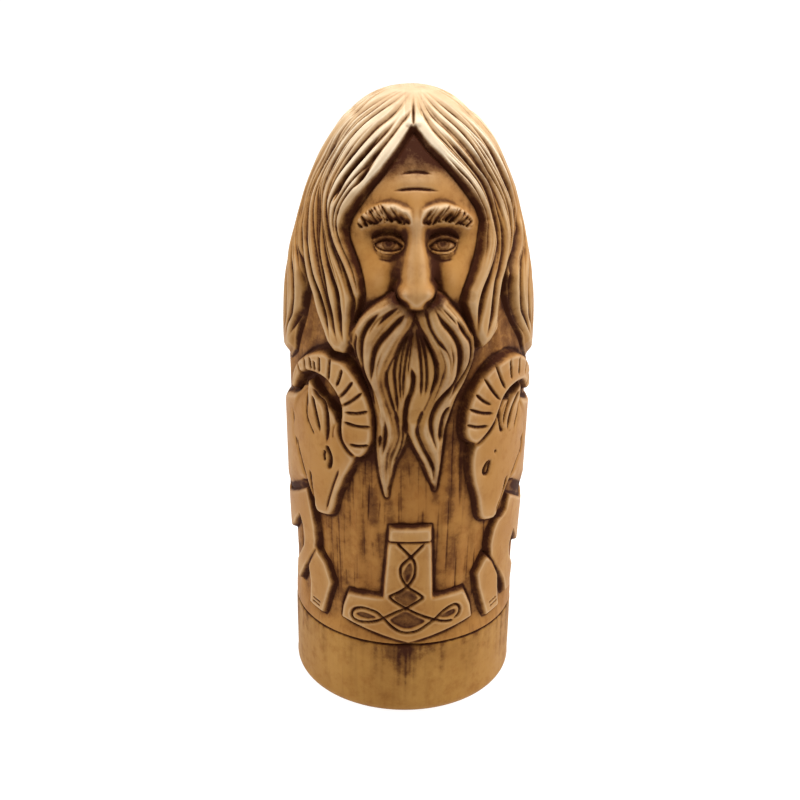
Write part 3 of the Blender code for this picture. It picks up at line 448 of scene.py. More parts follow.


# Ground of the log, with the dark runs below the beard's tips as (line, width)
GOUGES = 330
GOUGE_FEET = (21.0, 62.0)
GOUGE_LENGTHS = (5.0, 30.0)
GOUGE_TOP = 90.0
GOUGE_LEAN = 1.4
GOUGE_DEPTHS = (0.03, 0.11)
DEEP_GOUGE = 2.4
BEARD_RUNS = [([(-12, 58), (-11, 54.5), (-9.8, 51.5), (-9.2, 47.5)], 1.3),
              ([(11.4, 60), (11.6, 56.5), (11.2, 52.5)], 1.1),
              ([(-20.5, 60), (-18.5, 53), (-18, 46)], 1.8),
              ([(19, 62), (19.5, 55), (18.5, 47)], 1.6)]


def cut_ground():
    """The log's own surface: gouged upright, flared at the foot, sunk under the hair."""
    side = rise(AWAY, *SIDE_RAMP)
    front = GROUND + CHEST_SUNK * rise(Z, *CHEST_RAMP)
    level = front + (SIDE_GROUND - front) * side
    deep = RECESS + (SIDE_RECESS - RECESS) * side
    depth = level + (deep - level) * rise(Z, *HEM_RAMP)
    flare = 1.0 - rise(Z, LOG_FOOT, FLARE_RUN + SIDE_FLARE_RUN * side)
    depth = depth - (level - FLARE_DEPTH) * flare
    a = AA[None, :]
    wave = 0.12 * np.sin(11 * a + 0.6) + 0.08 * np.sin(23 * a + 1.9 + Z / 40.0)
    wave = wave + 0.06 * np.sin(41 * a + 0.3 - Z / 23.0)
    DEPTH[:] = depth + wave * ease((Z - LOG_FOOT - 2.0) / 6.0)
    for i in range(GOUGES):
        angle = rng.uniform(-180.0, 180.0)
        low = rng.uniform(*GOUGE_FEET)
        high = min(low + rng.uniform(*GOUGE_LENGTHS), GOUGE_TOP)
        lean = rng.uniform(-GOUGE_LEAN, GOUGE_LEAN)
        points = [(angle, high), (angle + lean * 0.4, (low + high) / 2.0), (angle + lean, low)]
        cut = rng.uniform(*GOUGE_DEPTHS) * (DEEP_GOUGE if i % 9 == 0 else 1.0)
        groove(points, rng.uniform(0.22, 0.36), cut, 0.8, cut * 0.5, 0.3, 0.3)
        if i % 2 == 0:
            darken_along(points, rng.uniform(0.7, 2.8), rng.uniform(0.1, 0.4))
    for points, width in BEARD_RUNS:
        darken_along(points, width, 0.6)


# Outlines shared with the solids, as (angle, height)
FACE_EDGE = {
    "left": [(-2, 133.6), (-6.2, 132.2), (-11, 130.2), (-16, 127.7), (-22, 124.9), (-27.5, 122.5),
             (-33.5, 119.2), (-38.5, 116), (-39.5, 113.5), (-37.5, 111.3), (-33.5, 109),
             (-29.5, 106.4), (-26.5, 104), (-25, 101), (-26.5, 97.8), (-28, 94.5)],
    "right": [(-0.4, 133.6), (4, 132.2), (10, 130.2), (18.5, 127.6), (26, 124.8), (31.5, 122.4),
              (38.5, 118.6), (41, 115.4), (38, 112), (35, 108.8), (29.5, 105), (25, 102),
              (23.5, 99.2), (25.5, 95.8)],
}
FRONT_FOOT = {
    "left": [(-26.6, 91), (-31, 87.5), (-37, 87.5), (-41.5, 89.5), (-44.5, 92), (-48.5, 95),
             (-52.5, 98.5), (-57.5, 101.2)],
    "right": [(27.5, 92), (31.5, 88.6), (36.5, 90), (41.5, 92.3), (45, 96.2), (48, 100.8)],
}
SIDE_SEAM = {
    "left": [(-62, 104), (-68, 107.5), (-75, 111), (-81.5, 116), (-83, 122), (-79, 130),
             (-68, 136.5)],
    "right": [(52.5, 103.5), (62, 106.5), (71, 111), (77, 117), (77.5, 124), (73, 131),
              (64, 136.5)],
}
SIDE_EDGE = {
    "left": [(-61.5, 99.5), (-63.5, 94), (-66.5, 89.5), (-69, 84), (-76, 81.5), (-84, 81)],
    "right": [(52.5, 98.5), (56, 94.5), (62, 90.5), (69, 84.5), (78, 81), (84, 81)],
}
BACK_SEAM_HEIGHTS = (84, 100, 112, 124, 134)
BACK_SEAM_ANGLE = 92.0
BACK_HEM = [(100, 83.5), (110, 86), (122, 81.5), (134, 84.5), (147, 79.5), (160, 83), (172, 78.5)]
FACE_FOOT = [(22, 94), (11, 96), (0, 95), (-11, 96), (-21, 94)]
PARTING = (-1.2, 134.2)
FACE = [PARTING] + FACE_EDGE["left"] + FACE_FOOT[::-1] + FACE_EDGE["right"][::-1]
MOUSTACHE = {
    "left": [(-0.3, 99.5), (-4, 101.3), (-9.2, 101.5), (-15.5, 99.8), (-21.5, 97.6), (-26, 95),
             (-28.2, 92), (-27.6, 89.2), (-26, 86.6), (-23.8, 84.2), (-21, 81.6), (-18.6, 78.8),
             (-17, 75.4), (-16.3, 72), (-16.6, 69), (-16, 65.5), (-14.8, 61.5), (-13, 58),
             (-11.5, 56), (-11.2, 60), (-10.5, 65), (-8, 68.5), (-7, 71), (-8.5, 75), (-12, 79.5),
             (-13.5, 82.8), (-12, 86), (-7.5, 90.6), (-4, 93.5), (-1.5, 96)],
    "right": [(0.3, 99.5), (4, 101.3), (8.5, 102), (13, 101), (18, 98.5), (22.5, 96), (26.3, 93),
              (28, 90), (27.6, 87), (25.8, 84.6), (23, 81.8), (19.5, 79), (17, 75.6), (14.8, 72),
              (14, 68.5), (13.4, 65), (12.4, 61), (11.3, 57.5), (11.2, 60), (10.5, 63.2),
              (8.5, 65.4), (5.5, 68.2), (3, 71.5), (4, 74.2), (7.5, 78), (10.5, 82), (12, 85.3),
              (9.5, 89), (5.5, 92.8), (2, 96.4)],
}
BEARD_LOCK = {
    "left": [(-6.5, 75.5), (-3.2, 75.5), (-2.6, 72.5), (-3, 69.6), (-5.6, 66.4), (-8.4, 63.8),
             (-9.6, 61.2), (-11, 58.4), (-10.9, 61.5), (-10.1, 64.8), (-7.6, 68.2), (-6.4, 71),
             (-7.2, 74)],
    "right": [(-2, 75), (1, 75.8), (3.4, 75.2), (3, 73.2), (2.4, 71.4), (4.6, 68.6), (8, 65.4),
              (10.2, 62.8), (11, 58.6), (8.4, 60.8), (5.6, 64), (2, 67.2), (-0.6, 69.8), (-2, 72)],
}
BEARD_CHIN = [(0, 98.6), (3.5, 95), (8, 91), (12.6, 85.3), (9, 79), (4, 74.6), (-2.3, 74.6),
              (-7.5, 74.6), (-12.6, 79.2), (-14.2, 82.8), (-12.4, 86.4), (-7, 91.4), (-3, 95)]
RAM_OUTLINES = {
    "left": {
        "horn": [(-68.3, 76), (-65.8, 79.8), (-59.8, 83.1), (-50.5, 86), (-42, 87.2), (-37, 86.4),
                 (-31.2, 86), (-25.2, 83), (-20.9, 79.8), (-18.6, 76.6), (-17.6, 72.5),
                 (-18.1, 68.8), (-20.3, 66.5), (-23.8, 64.8), (-28.6, 65.8), (-32.4, 68.2),
                 (-33.3, 71.2), (-32.6, 74.8), (-33.8, 77.2), (-37, 79.6), (-42.5, 81.5),
                 (-51, 81.7), (-57.8, 80.3), (-61.6, 78.2), (-65, 75.6)],
        "ear": [(-52.4, 79.6), (-48, 78.6), (-44.2, 76.6), (-41.4, 74.8), (-39.9, 71.9),
                (-40.2, 67.4), (-46, 67.3), (-51, 69.3), (-53.4, 73.4)],
        "head": [(-42.3, 76.4), (-39.6, 75.4), (-35.9, 73.7), (-34.3, 71.5), (-33.6, 69),
                 (-29.6, 66.2), (-25.4, 64.8), (-28.5, 61.6), (-31.6, 58.6), (-35.2, 54.7),
                 (-37.8, 50.6), (-39.8, 49), (-43.3, 48.5), (-48.8, 48.5), (-51.6, 50.8),
                 (-54.4, 53.2), (-57.4, 56.4), (-60.6, 59.4), (-63.8, 63), (-63.3, 68.5),
                 (-57.8, 74.2), (-48.8, 77.4)],
        "bent_foreleg": [(-99, 48.8), (-92, 47.6), (-84.8, 46.6), (-75.8, 48.3), (-65.8, 50.5),
                         (-55.6, 53.4), (-52.3, 48.1), (-50.2, 44.3), (-49.5, 40.6), (-50.3, 38.6),
                         (-60.3, 31.9), (-68.8, 26.5), (-74.6, 26.8), (-71.4, 32), (-62.3, 37.4),
                         (-61.3, 39.7), (-62, 42.3), (-64.6, 44.4), (-74.8, 39.4), (-81.5, 37.2),
                         (-87, 38.2), (-92, 40.8), (-96.5, 43.9), (-101, 47.4)],
        "straight_foreleg": [(-51.5, 39.4), (-43.6, 36.2), (-39.7, 31.5), (-43, 27), (-46.8, 22.2),
                             (-58.8, 22.8), (-57, 28.9), (-58.5, 33)],
    },
    "right": {
        "horn": [(76.3, 74.7), (73.8, 79), (67.3, 82.1), (59.8, 84.3), (52.3, 85.5), (44.3, 85.2),
                 (36.8, 84.2), (30.8, 81.7), (26.3, 78.1), (23.8, 73), (24.8, 69.3), (29.8, 67.5),
                 (34.8, 68.7), (40.3, 71.3), (43.1, 74), (45.8, 76.5), (50.8, 78), (58.8, 78.3),
                 (65.8, 77.1), (71.3, 74.3)],
        "ear": [(60.4, 78.2), (57.4, 76.9), (51.4, 75.8), (46.6, 74), (44.3, 71.8), (46, 69),
                (53, 67.4), (58.6, 69.6), (61.4, 73.6)],
        "head": [(45.3, 76), (39.8, 71.1), (34.3, 68.5), (29.3, 67.1), (27.8, 63.5), (28.8, 59),
                 (32.3, 53.7), (34.8, 48.8), (40.3, 47.5), (45.3, 47.7), (50.3, 51), (55.8, 55.3),
                 (62.3, 58.7), (67.3, 61), (64.8, 67), (56.8, 73.1)],
        "bent_foreleg": [(55.9, 51.3), (61, 50.2), (67, 48.6), (75.8, 46.4), (84.8, 45.4),
                         (92, 47.2), (99, 48.8), (101, 47.4), (96.5, 43.5), (91.5, 39.6),
                         (86.5, 36.2), (81.5, 34.2), (75.8, 34.6), (65.6, 39.9), (61.6, 37.2),
                         (62.9, 34.6), (69.7, 30.6), (68.5, 24.5), (60.8, 24.3), (57, 28.6),
                         (47.9, 34.4), (42.9, 37.9), (41.9, 40.7), (43.3, 44.1), (46.2, 46.5),
                         (53.4, 47.6)],
        "straight_foreleg": [(40.1, 38.8), (34.2, 34.6), (36, 30.5), (39.6, 26), (43.3, 21.8),
                             (55, 22.5), (52.4, 28), (51.3, 31.7), (46.4, 36.2)],
    },
}
FLANK_RIGHT = [(54, 76.2), (62, 74.2), (70, 72.6), (78, 71.2), (86, 70.2), (94, 69.6), (104, 69.1),
               (118, 67.6), (129, 64.6), (135.5, 58.5), (136.5, 51.5), (128, 49), (114, 48),
               (100, 47.4), (92, 47), (86, 48.3), (76, 50.4), (62, 54), (50, 57), (46, 66)]
FLANK_RAISED = {"left": 1.1, "right": -0.3}
FLANK_FRONT_END = 84.0
FLANK_MIDDLE = 68.0
HAUNCH_RIGHT = [(118, 48), (126, 48.8), (136.4, 51.2), (139, 46), (136.5, 40.5), (133, 36),
                (131.5, 30.5), (133, 24.5), (134.5, 20.2), (125, 20.2), (124, 25), (122.5, 31),
                (124, 37), (119, 41.5)]
THIGH_RIGHT = [(103, 48.1), (116.5, 47.9), (117.6, 42), (115, 36), (110.5, 31.5), (109, 26),
               (110, 20.2), (101, 20.2), (101.5, 26), (102, 31.5), (105, 37), (101.5, 43)]
TAIL_RIGHT = [(130.5, 64.2), (136.5, 62.5), (142, 58), (143, 52), (140, 52.4), (137.6, 56)]


def turned(points, sign):
    """Points of the right-hand side, or the same ones on the left where the sign is -1."""
    return [(sign * a, z) for a, z in points]


def back_seam(sign):
    """The seam behind one ear, from the hem up to the crown."""
    return turned([(BACK_SEAM_ANGLE, z) for z in (*BACK_SEAM_HEIGHTS, TOTAL_HEIGHT)], sign)


# Each horn's rings by their two ends, and each ram's lines, with width and depth where cut
HORN_RINGS = {
    "left": [((-60.8, 82), (-57.8, 80.1)), ((-54.9, 84.1), (-54.4, 81.2)),
             ((-50.8, 84.9), (-49.9, 82.3)), ((-47.9, 84.5), (-47.4, 82.4)),
             ((-44.4, 85.8), (-44.7, 82.3)), ((-38.3, 86.2), (-39.4, 81.1)),
             ((-32, 84.4), (-34.8, 80.4)), ((-26.8, 82.1), (-34.1, 77.7)),
             ((-22.4, 80), (-32.5, 76.1)), ((-19.7, 76), (-30.4, 74.9)),
             ((-18.6, 72.5), (-31, 72.6)), ((-19.4, 68.2), (-28.4, 67.7))],
    "right": [((73.3, 77.9), (69.3, 75.7)), ((66.3, 82.4), (64.5, 78.9)), ((56.9, 84), (57.3, 80)),
              ((48.9, 84.6), (50.8, 80)), ((39.3, 84.5), (46, 78.5)), ((32.6, 82.4), (42.8, 76.3)),
              ((28.6, 79.1), (37, 75.9)), ((25.5, 76), (38.6, 73.7)),
              ((24.6, 72.4), (35.9, 71.1))],
}
RAM_LINES = {
    "left": {
        "eye": [([(-42.3, 66.2), (-40.3, 64.6), (-39.2, 63.2), (-39.5, 61.6),
                  (-40.6, 59.9)], 0.8, 1),
                ([(-42.4, 64.6), (-42.9, 63.3), (-42.4, 61.8)], 0.5, 0.6)],
        "ear": [([(-50, 78.6), (-46.6, 76.6), (-42.6, 75.4), (-41, 73.6), (-40.9, 70.4),
                  (-41.2, 66)], 0.85, 0.95),
                ([(-50, 76.6), (-48, 73.4), (-46.1, 70.3), (-44.7, 68)], 0.85, 0.85),
                ([(-54.6, 76.4), (-54.6, 72.3), (-53.4, 68.4)], 0.5, 0.45),
                ([(-54.4, 70.6), (-51.5, 68.6), (-48.4, 67)], 0.5, 0.35)],
        "face": [([(-33.8, 61.6), (-37.6, 56.9), (-40.6, 52.7), (-42.2, 49.6)], 0.5, 0.4),
                 ([(-53.2, 58.4), (-52, 53.6), (-50, 49.8)], 0.55, 0.6),
                 ([(-34, 72.4), (-37, 70.4), (-37.6, 67.6)], 0.5, 0.25)],
        "neck": [([(-68, 71), (-67, 66.5), (-64.6, 60.6)], 0.5, 0.45),
                 ([(-58.5, 72.6), (-58.9, 68)], 0.4, 0.25)],
        "hoof": [[(-55.4, 24.1), (-49, 23.8)], [(-54.9, 25.1), (-48.4, 24.8)]],
        "blend": [(-46.8, 77.4), (-52, 76), (-57.8, 73.5), (-63.3, 66.5), (-63.8, 62.6)],
        "ear_foot": [(-40.6, 68.4), (-44, 66.8), (-48.8, 67.2), (-53, 70), (-55, 74)],
    },
    "right": {
        "eye": [([(39.4, 63), (37.9, 62.3), (36.4, 61.6), (35.2, 60.5), (35.9, 59.5), (37.5, 59.6),
                  (38.4, 61.2), (39.4, 63)], 0.5, 0.8),
                ([(41, 64), (42.8, 64.4)], 0.4, 0.45)],
        "ear": [([(58.6, 77.2), (51.6, 75.2), (47.6, 72.6), (46.2, 69.2)], 0.7, 0.8),
                ([(60, 76), (54.6, 73.8), (51.4, 71.2), (50, 67.8)], 0.85, 1),
                ([(62, 75.6), (59.6, 71.6), (57.6, 69.2), (55.6, 66.8)], 0.5, 0.5)],
        "face": [([(52.6, 57), (50.3, 53), (47.3, 50.4), (44.6, 48.2)], 0.6, 0.65),
                 ([(42.6, 74.4), (44.6, 71), (46.4, 67.6)], 0.85, 0.8)],
        "neck": [([(70, 68), (68.6, 61.6), (66.2, 58.2)], 0.5, 0.5),
                 ([(64.5, 71.5), (64, 66.5)], 0.4, 0.3)],
        "hoof": [[(51.2, 25.6), (44.9, 25)], [(52.4, 24.5), (45.8, 23.9)]],
        "blend": [(56, 74), (60.4, 70.4), (64.8, 67), (67.4, 62.6)],
        "ear_foot": [(47.8, 69.5), (49.3, 66.9), (54, 66.4), (57.8, 70), (60.3, 74)],
    },
}
FLANK_CURLS = 34
CURL_ANGLES = (88.0, 131.0)
CURL_TOPS = (54.0, 67.0)
HAUNCH_MIDDLE = 129.0
THIGH_MIDDLE = 105.5
HOOF_HALF = 6.0
HOOF_HEIGHT = 23.6
RING_OVERRUN = 0.16


def carve_ram(side, sign):
    """One ram: its flank and legs first, then the head, ear and horn over them."""
    shapes = RAM_OUTLINES[side]
    lines = RAM_LINES[side]
    tag = "ram_" + side + "_"
    raise_region(tag + "tail", turned(TAIL_RIGHT, sign), 0.5, 0.5, 1.0)
    raise_region(tag + "thigh", turned(THIGH_RIGHT, sign), 0.75, 0.5, 1.3)
    raise_region(tag + "haunch", turned(HAUNCH_RIGHT, sign), 0.3, 0.6, 1.6)
    outline = [(a, z + FLANK_RAISED[side] * (a < FLANK_FRONT_END and z > FLANK_MIDDLE))
               for a, z in FLANK_RIGHT]
    raise_region(tag + "flank", turned(outline, sign), -0.05, 0.45, 1.1, wall=0.6, reach=4.0)
    flank = MASKS[tag + "flank"]
    carve_belly(sign)
    for line, width, deep in lines["neck"]:
        groove(line, width, deep, 1.0, 0.5 * deep, 0.25, 0.3, flank)
    for _ in range(FLANK_CURLS):
        angle = rng.uniform(*CURL_ANGLES)
        high = rng.uniform(*CURL_TOPS)
        drop = rng.uniform(3.0, 7.0)
        curl = rng.uniform(1.5, 5.0)
        points = [(angle, high), (angle + curl, high - drop * 0.5),
                  (angle + curl * 1.3, high - drop)]
        groove(turned(points, sign), 0.42, rng.uniform(0.15, 0.4), 0.9, 0.12, 0.3, 0.3, flank)
    groove(turned([(104, 62), (112, 57), (114, 50)], sign), 0.6, 0.35, 1.8, 0.4, 0.3, 0.2, flank)
    for leg in ("straight_foreleg", "bent_foreleg"):
        raise_region(tag + leg, shapes[leg], 0.05, 0.35, 0.7, wall=0.5, contour=0.22,
                     straight=True, shift=0.5)
    melt(turned([(88, 47), (93, 47.6), (98, 48.4), (102.5, 47.6)], sign), 2.6, 1.3)
    for line in lines["hoof"]:
        groove(line, 0.36, 0.4, mask=MASKS[tag + "straight_foreleg"], start=0.1, end=0.1)
    for leg, middle in (("haunch", HAUNCH_MIDDLE), ("thigh", THIGH_MIDDLE)):
        cleft = [(middle - HOOF_HALF, HOOF_HEIGHT + 0.3), (middle, HOOF_HEIGHT),
                 (middle + HOOF_HALF, HOOF_HEIGHT + 0.3)]
        groove(turned(cleft, sign), 0.4, 0.4, mask=MASKS[tag + leg], start=0.0, end=0.0)
    carve_ram_head(side, tag, shapes, lines)


def carve_belly(sign):
    """The hollow under the belly, with painted shade under its edge."""
    turn = sign * TURN
    notch = rise(turn, 52.0, 8.0) * ease((104.0 - turn) / 8.0) * rise(Z, 41.0, 3.0)
    notch = notch * ease((60.0 - Z) / 3.0)
    DEPTH[:] += notch * (np.minimum(DEPTH, BELLY_DEPTH) - DEPTH)
    edge = turned([(58, 54.9), (68, 52.3), (76, 50.4), (86, 48.3), (95, 47)], sign)
    melt(edge, 3.2, 1.3)
    # Painted shade along and under the belly's edge
    darken_along(edge, 2.0, 0.3)
    darken_along([(a, z - 1.6) for a, z in edge], 1.3, 0.85, 0.1, 0.2)


def carve_ram_head(side, tag, shapes, lines):
    """The head, blended into the neck, then the ear and the ringed horn."""
    raise_region(tag + "head", shapes["head"], 0.0, 0.4, 0.9, wall=0.55, contour=0.2, shift=0.6)
    for _ in range(2):
        melt(lines["blend"], 3.0, 1.5)
    for line, width, deep in lines["face"] + lines["eye"]:
        groove(line, width, deep, 1.0, 0.3 * deep, 0.18, 0.18, MASKS[tag + "head"])
    raise_region(tag + "ear", shapes["ear"], -0.05, 0.35, 0.8, wall=0.45, contour=0.2, shift=0.6)
    melt(lines["ear_foot"], 2.4, 1.2)
    for line, width, deep in lines["ear"]:
        groove(line, 0.8 * width, deep, 0.8, 0.25 * deep, 0.15, 0.25)
    raise_region(tag + "horn", shapes["horn"], -0.15, 0.45, 0.8, wall=0.55, contour=0.35)
    for first, last in HORN_RINGS[side]:
        bow = ((first[0] + last[0]) / 2.0, (first[1] + last[1]) / 2.0 - 0.35)
        first, last = [tuple((1.0 + RING_OVERRUN) * e - RING_OVERRUN * m for e, m in zip(end, bow))
                       for end in (first, last)]
        groove([first, bow, last], 0.46, 0.8, 0.8, 0.15, 0.18, 0.22, MASKS[tag + "horn"])


# Hammer sizes, in mm along the skin, and the knot: two bands and the eyes between them
HAMMER_FOOT = 19.0
HAMMER_HEAD_WIDTH = 32.0
HAMMER_TOP_WIDTH = 26.5
HAMMER_END_HEIGHT = 3.8
HAMMER_KEEL = 4.4
HAMMER_HEAD_HEIGHT = 12.6
HANDLE_FOOT_WIDTH = 11.2
HANDLE_TOP_WIDTH = 9.6
HANDLE_HEIGHT = 13.3
HANDLE_SUNK = 0.6
CAP_JOINT = 0.3
CAP_HEIGHT = 3.6
KEEL_SWELL = 0.48
KNOT_EYE_DEPTH = 0.16
KNOT_EYE_STAIN = 0.62
KNOT_RIM = (1.15, -0.22)
KNOT_CUT = (0.5, 0.95)
KNOT = [[(-6.4, 45.2), (0.3, 41.8), (2.2, 40.1), (2.5, 38.1), (1.7, 36.2), (-1.3, 34.1),
         (-5.4, 32.6), (-9.3, 31.5), (-9.3, 31.1), (-6.3, 29.9), (-1.5, 28.5), (4.8, 26.8),
         (11.2, 25.4), (17.4, 24.3), (22.9, 24.1)],
        [(7.2, 45.2), (0.3, 41.7), (-3.8, 39.6), (-4.4, 37.9), (-3.7, 36.2), (-1, 34.1), (3, 32.7),
         (6.4, 31.4), (6.4, 31), (3.2, 29.9), (-1.5, 28.5), (-6.2, 27.4), (-12, 25.7),
         (-14.5, 24.9), (-19, 24.1), (-24.2, 23.7), (-27.9, 24.1), (-29, 25.2), (-27.3, 26.7),
         (-23, 27.5), (-18.9, 27.3), (-15.4, 26.8), (-12, 25.3), (-8.1, 23.5), (-4.2, 22.3),
         (-0.3, 22), (4.5, 22.5), (9.3, 24), (13.7, 25.6), (17.2, 27.1), (21.2, 28.1), (24, 28.1),
         (26, 26.9), (25.4, 25.4), (22.4, 24.4)]]
KNOT_EYES = [[(0.1, 40.4), (1.3, 38.1), (-1.1, 35.4), (-3.2, 37.6)],
             [(-1.5, 33.3), (4, 31.3), (-1.3, 29.2), (-7.2, 31.3)],
             [(-1.5, 27.7), (4, 26.3), (7.8, 25), (4.2, 23.8), (-0.8, 23.1), (-5.4, 23.8),
              (-9, 25.2), (-5.3, 26.9)],
             [(-26.3, 25.5), (-23, 26.4), (-18.2, 26), (-16.3, 25.4), (-21.5, 24.8)],
             [(15.2, 25.7), (18.7, 26.7), (22.9, 27), (23.3, 25.9), (19.4, 25.2)]]


def arc(width, z):
    """Half of a width along the skin, as an angle at height z."""
    return math.degrees(width / 2.0 / float(skin_radius(np.array(z))))


def carve_hammer():
    """The hammer's head, handle and cap with the cut knot."""
    end_low = HAMMER_FOOT + HAMMER_KEEL
    end_high = end_low + HAMMER_END_HEIGHT
    shoulder = HAMMER_FOOT + HAMMER_HEAD_HEIGHT
    wide = arc(HAMMER_HEAD_WIDTH, end_low)
    top = arc(HAMMER_TOP_WIDTH, shoulder)
    neck_low = arc(HANDLE_FOOT_WIDTH, shoulder)
    neck_high = shoulder + HANDLE_HEIGHT
    slim = arc(HANDLE_TOP_WIDTH, neck_high)
    cap_low = neck_high + CAP_JOINT
    cap_top = cap_low + CAP_HEIGHT
    foot = shoulder - HANDLE_SUNK
    swell = end_low - HAMMER_KEEL * KEEL_SWELL
    head = [(0.0, HAMMER_FOOT), (wide * 0.5, swell), (wide, end_low), (wide * 0.95, end_high),
            (top, shoulder), (neck_low, foot), (-neck_low - 1.2, foot),
            (-top * 1.11, shoulder - 0.9), (-wide, end_high - 0.6), (-wide * 1.03, end_low),
            (-wide * 0.5, swell)]
    handle = [(neck_low, foot), (slim, neck_high), (-slim, neck_high), (-neck_low, foot)]
    cap = [(slim, cap_low), (slim, cap_top), (-slim, cap_top), (-slim, cap_low)]
    whole = head[:6] + [(slim, cap_top), (-slim, cap_top)] + head[6:]
    raise_region("hammer", whole, 0.25, 0.4, 0.7, wall=0.5, contour=0.25, straight=True,
                 node=False, shift=0.6)
    for name, points in (("hammer_head", head), ("hammer_handle", handle), ("hammer_cap", cap)):
        index, s = signed(points, 1.0, straight=True)
        name_piece(name, index, s > -MARGIN)
    body = MASKS["hammer"]
    joint = [(-slim * 1.1, cap_low), (slim * 1.1, cap_low)]
    groove(joint, 0.45, 0.5, 0.8, 0.15, 0.0, 0.0, body)
    for eye in KNOT_EYES:
        index, s = signed(eye, 1.2)
        DEPTH[index] += KNOT_EYE_DEPTH * within(s, 0.5)
        darken(index, KNOT_EYE_STAIN * within(s, 0.5))
    for line in KNOT:
        groove(line, *KNOT_RIM, start=0.02, end=0.02, mask=body)
        groove(line, *KNOT_CUT, start=0.02, end=0.02, mask=body)


# Hair, from the crown down: lines of each curtain from the face outwards, then of the sides
HAIR_LINES = {
    "left": [[(-0.5, 138), (-4, 132.2), (-16, 127.2), (-27.5, 122.3), (-36, 118), (-39.5, 114),
              (-36, 110.5), (-29.5, 106.4), (-25.3, 102), (-26, 98), (-27.5, 94.5), (-27, 91)],
             [(-5, 138.9), (-11.5, 138), (-22.5, 135), (-32, 132.6), (-39, 130), (-45.5, 126.8),
              (-51.5, 122.8), (-53.5, 118), (-50, 114), (-46.5, 111.5), (-41.5, 109), (-35.5, 106),
              (-31, 102.5), (-28.6, 99.5), (-28.8, 96), (-29.5, 91.5)],
             [(-10, 139.3), (-23, 138), (-37, 135.8), (-46.5, 133.2), (-55.5, 129), (-60.5, 124),
              (-61.5, 119.5), (-58, 115), (-53, 111.5), (-47, 107.4), (-41.5, 104), (-36.8, 100.5),
              (-35, 97), (-33, 93), (-30, 89.5)],
             [(-20, 139.3), (-40, 137.5), (-55, 133.4), (-64.5, 128.5), (-69, 124), (-68.5, 120),
              (-64, 116), (-58.5, 111.5), (-52.5, 107.2), (-46.5, 103.2), (-41.8, 98.5), (-38, 94),
              (-33.5, 89.8)],
             [(-30, 139.3), (-55, 136.5), (-69, 131), (-75.5, 125.5), (-76, 120), (-72.5, 115),
              (-66, 110.5), (-59.5, 106.5), (-53.5, 102.6), (-47.5, 99), (-43, 95), (-37, 89)]],
    "right": [[(0.5, 138), (4, 132.8), (12.5, 129.8), (19, 127.6), (26, 125.2), (32.5, 122.8),
               (38.5, 119), (41, 115.4), (38, 112), (35, 109), (29.5, 105), (25, 102), (23.5, 99),
               (25.5, 95.8), (27, 92.5)],
              [(4, 138.9), (13, 133.6), (24, 130), (35, 126.3), (43, 121.6), (47, 116),
               (46.5, 111), (43, 107.6), (38, 104.4), (33, 101), (30.2, 96.8), (28.6, 91.5)],
              [(8, 139.1), (18, 135.2), (30, 131.6), (42, 127), (49.5, 122.6), (52, 117),
               (52.5, 112.6), (50, 108.6), (45, 105), (41, 102.2), (38.8, 99.2), (37, 95.8),
               (32, 91)],
              [(14, 139.3), (28, 136), (41, 131.6), (50, 127), (56.5, 121.6), (59.5, 116),
               (60, 112), (57, 108.4), (51.5, 104.6), (46.5, 101.6), (43.5, 98), (41, 94.4),
               (35.5, 91)],
              [(24, 139.3), (40, 136), (53, 131.6), (62, 126.4), (67, 120.4), (68.5, 115),
               (66, 110.4), (60, 106.6), (53.5, 103), (48.5, 99.6), (46, 96.6), (42, 92.8)]],
}
HAIR_LINES["left"].append([(-45, 139.3)] + SIDE_SEAM["left"][::-1]
                          + [(-56, 100.6), (-49.5, 96), (-44, 91.8), (-38.5, 87.6)])
HAIR_LINES["right"].append([(40, 139.3)] + SIDE_SEAM["right"][:0:-1]
                           + [(53.5, 103), (48.5, 100.8), (45.4, 96.2), (41.8, 92.3)])
LEFT_SHORT = [[(-1, 136.5), (-10, 134.2), (-18, 131.3), (-24.5, 128.6), (-30, 125.4),
               (-35.5, 120.6)],
              [(-14, 134.8), (-24, 131.6), (-33, 128.3), (-41, 124.4), (-45, 121), (-46.5, 117)]]
SIDE_LINES = [[(64, 136.5), (74, 131), (78.5, 124), (77.5, 117), (71, 110.6), (60, 105.6),
               (54, 101.5), (54.5, 96.6), (60, 92), (68, 87)],
              [(72, 137), (83, 130), (87, 121), (84, 113), (75, 107), (65, 103.6), (60.5, 99.4),
               (61.5, 95), (67, 91), (73, 85.6)],
              [(82, 137.2), (94, 129), (97, 119), (92, 110), (81, 104), (72, 100.4), (68.5, 96.6),
               (70, 92.6), (74.5, 89), (77, 84.8)],
              [(92, 137.2), (104, 128), (106, 117), (99, 107), (87, 100.6), (80, 96.6), (78, 92.6),
               (79.5, 88.6), (82.5, 85.4)],
              [(102, 137.2), (114, 127), (113.5, 116), (105, 105), (94.5, 98), (89.5, 93.6),
               (88.5, 89.6), (92, 84.4)]]
BACK_STRANDS = 12
BACK_BEND = 3.5
BACK_STEPS = ((136.4, 0.72, 0.0), (130.0, 0.72, 0.0), (118.0, 0.72, 1.0), (106.0, 0.81, 0.5),
              (98.0, 0.92, -0.6), (91.0, 1.0, -1.0), (82.0, 1.0, 0.0))

# Main grooves of the hair, as width, depth, soft width and soft depth
BACK_GROOVE = (1.05, 1.1, 1.6, 0.5)
SIDE_GROOVE = (0.85, 0.95, 1.3, 0.45)
FRONT_GROOVE = (1.0, 1.15, 1.5, 0.6)

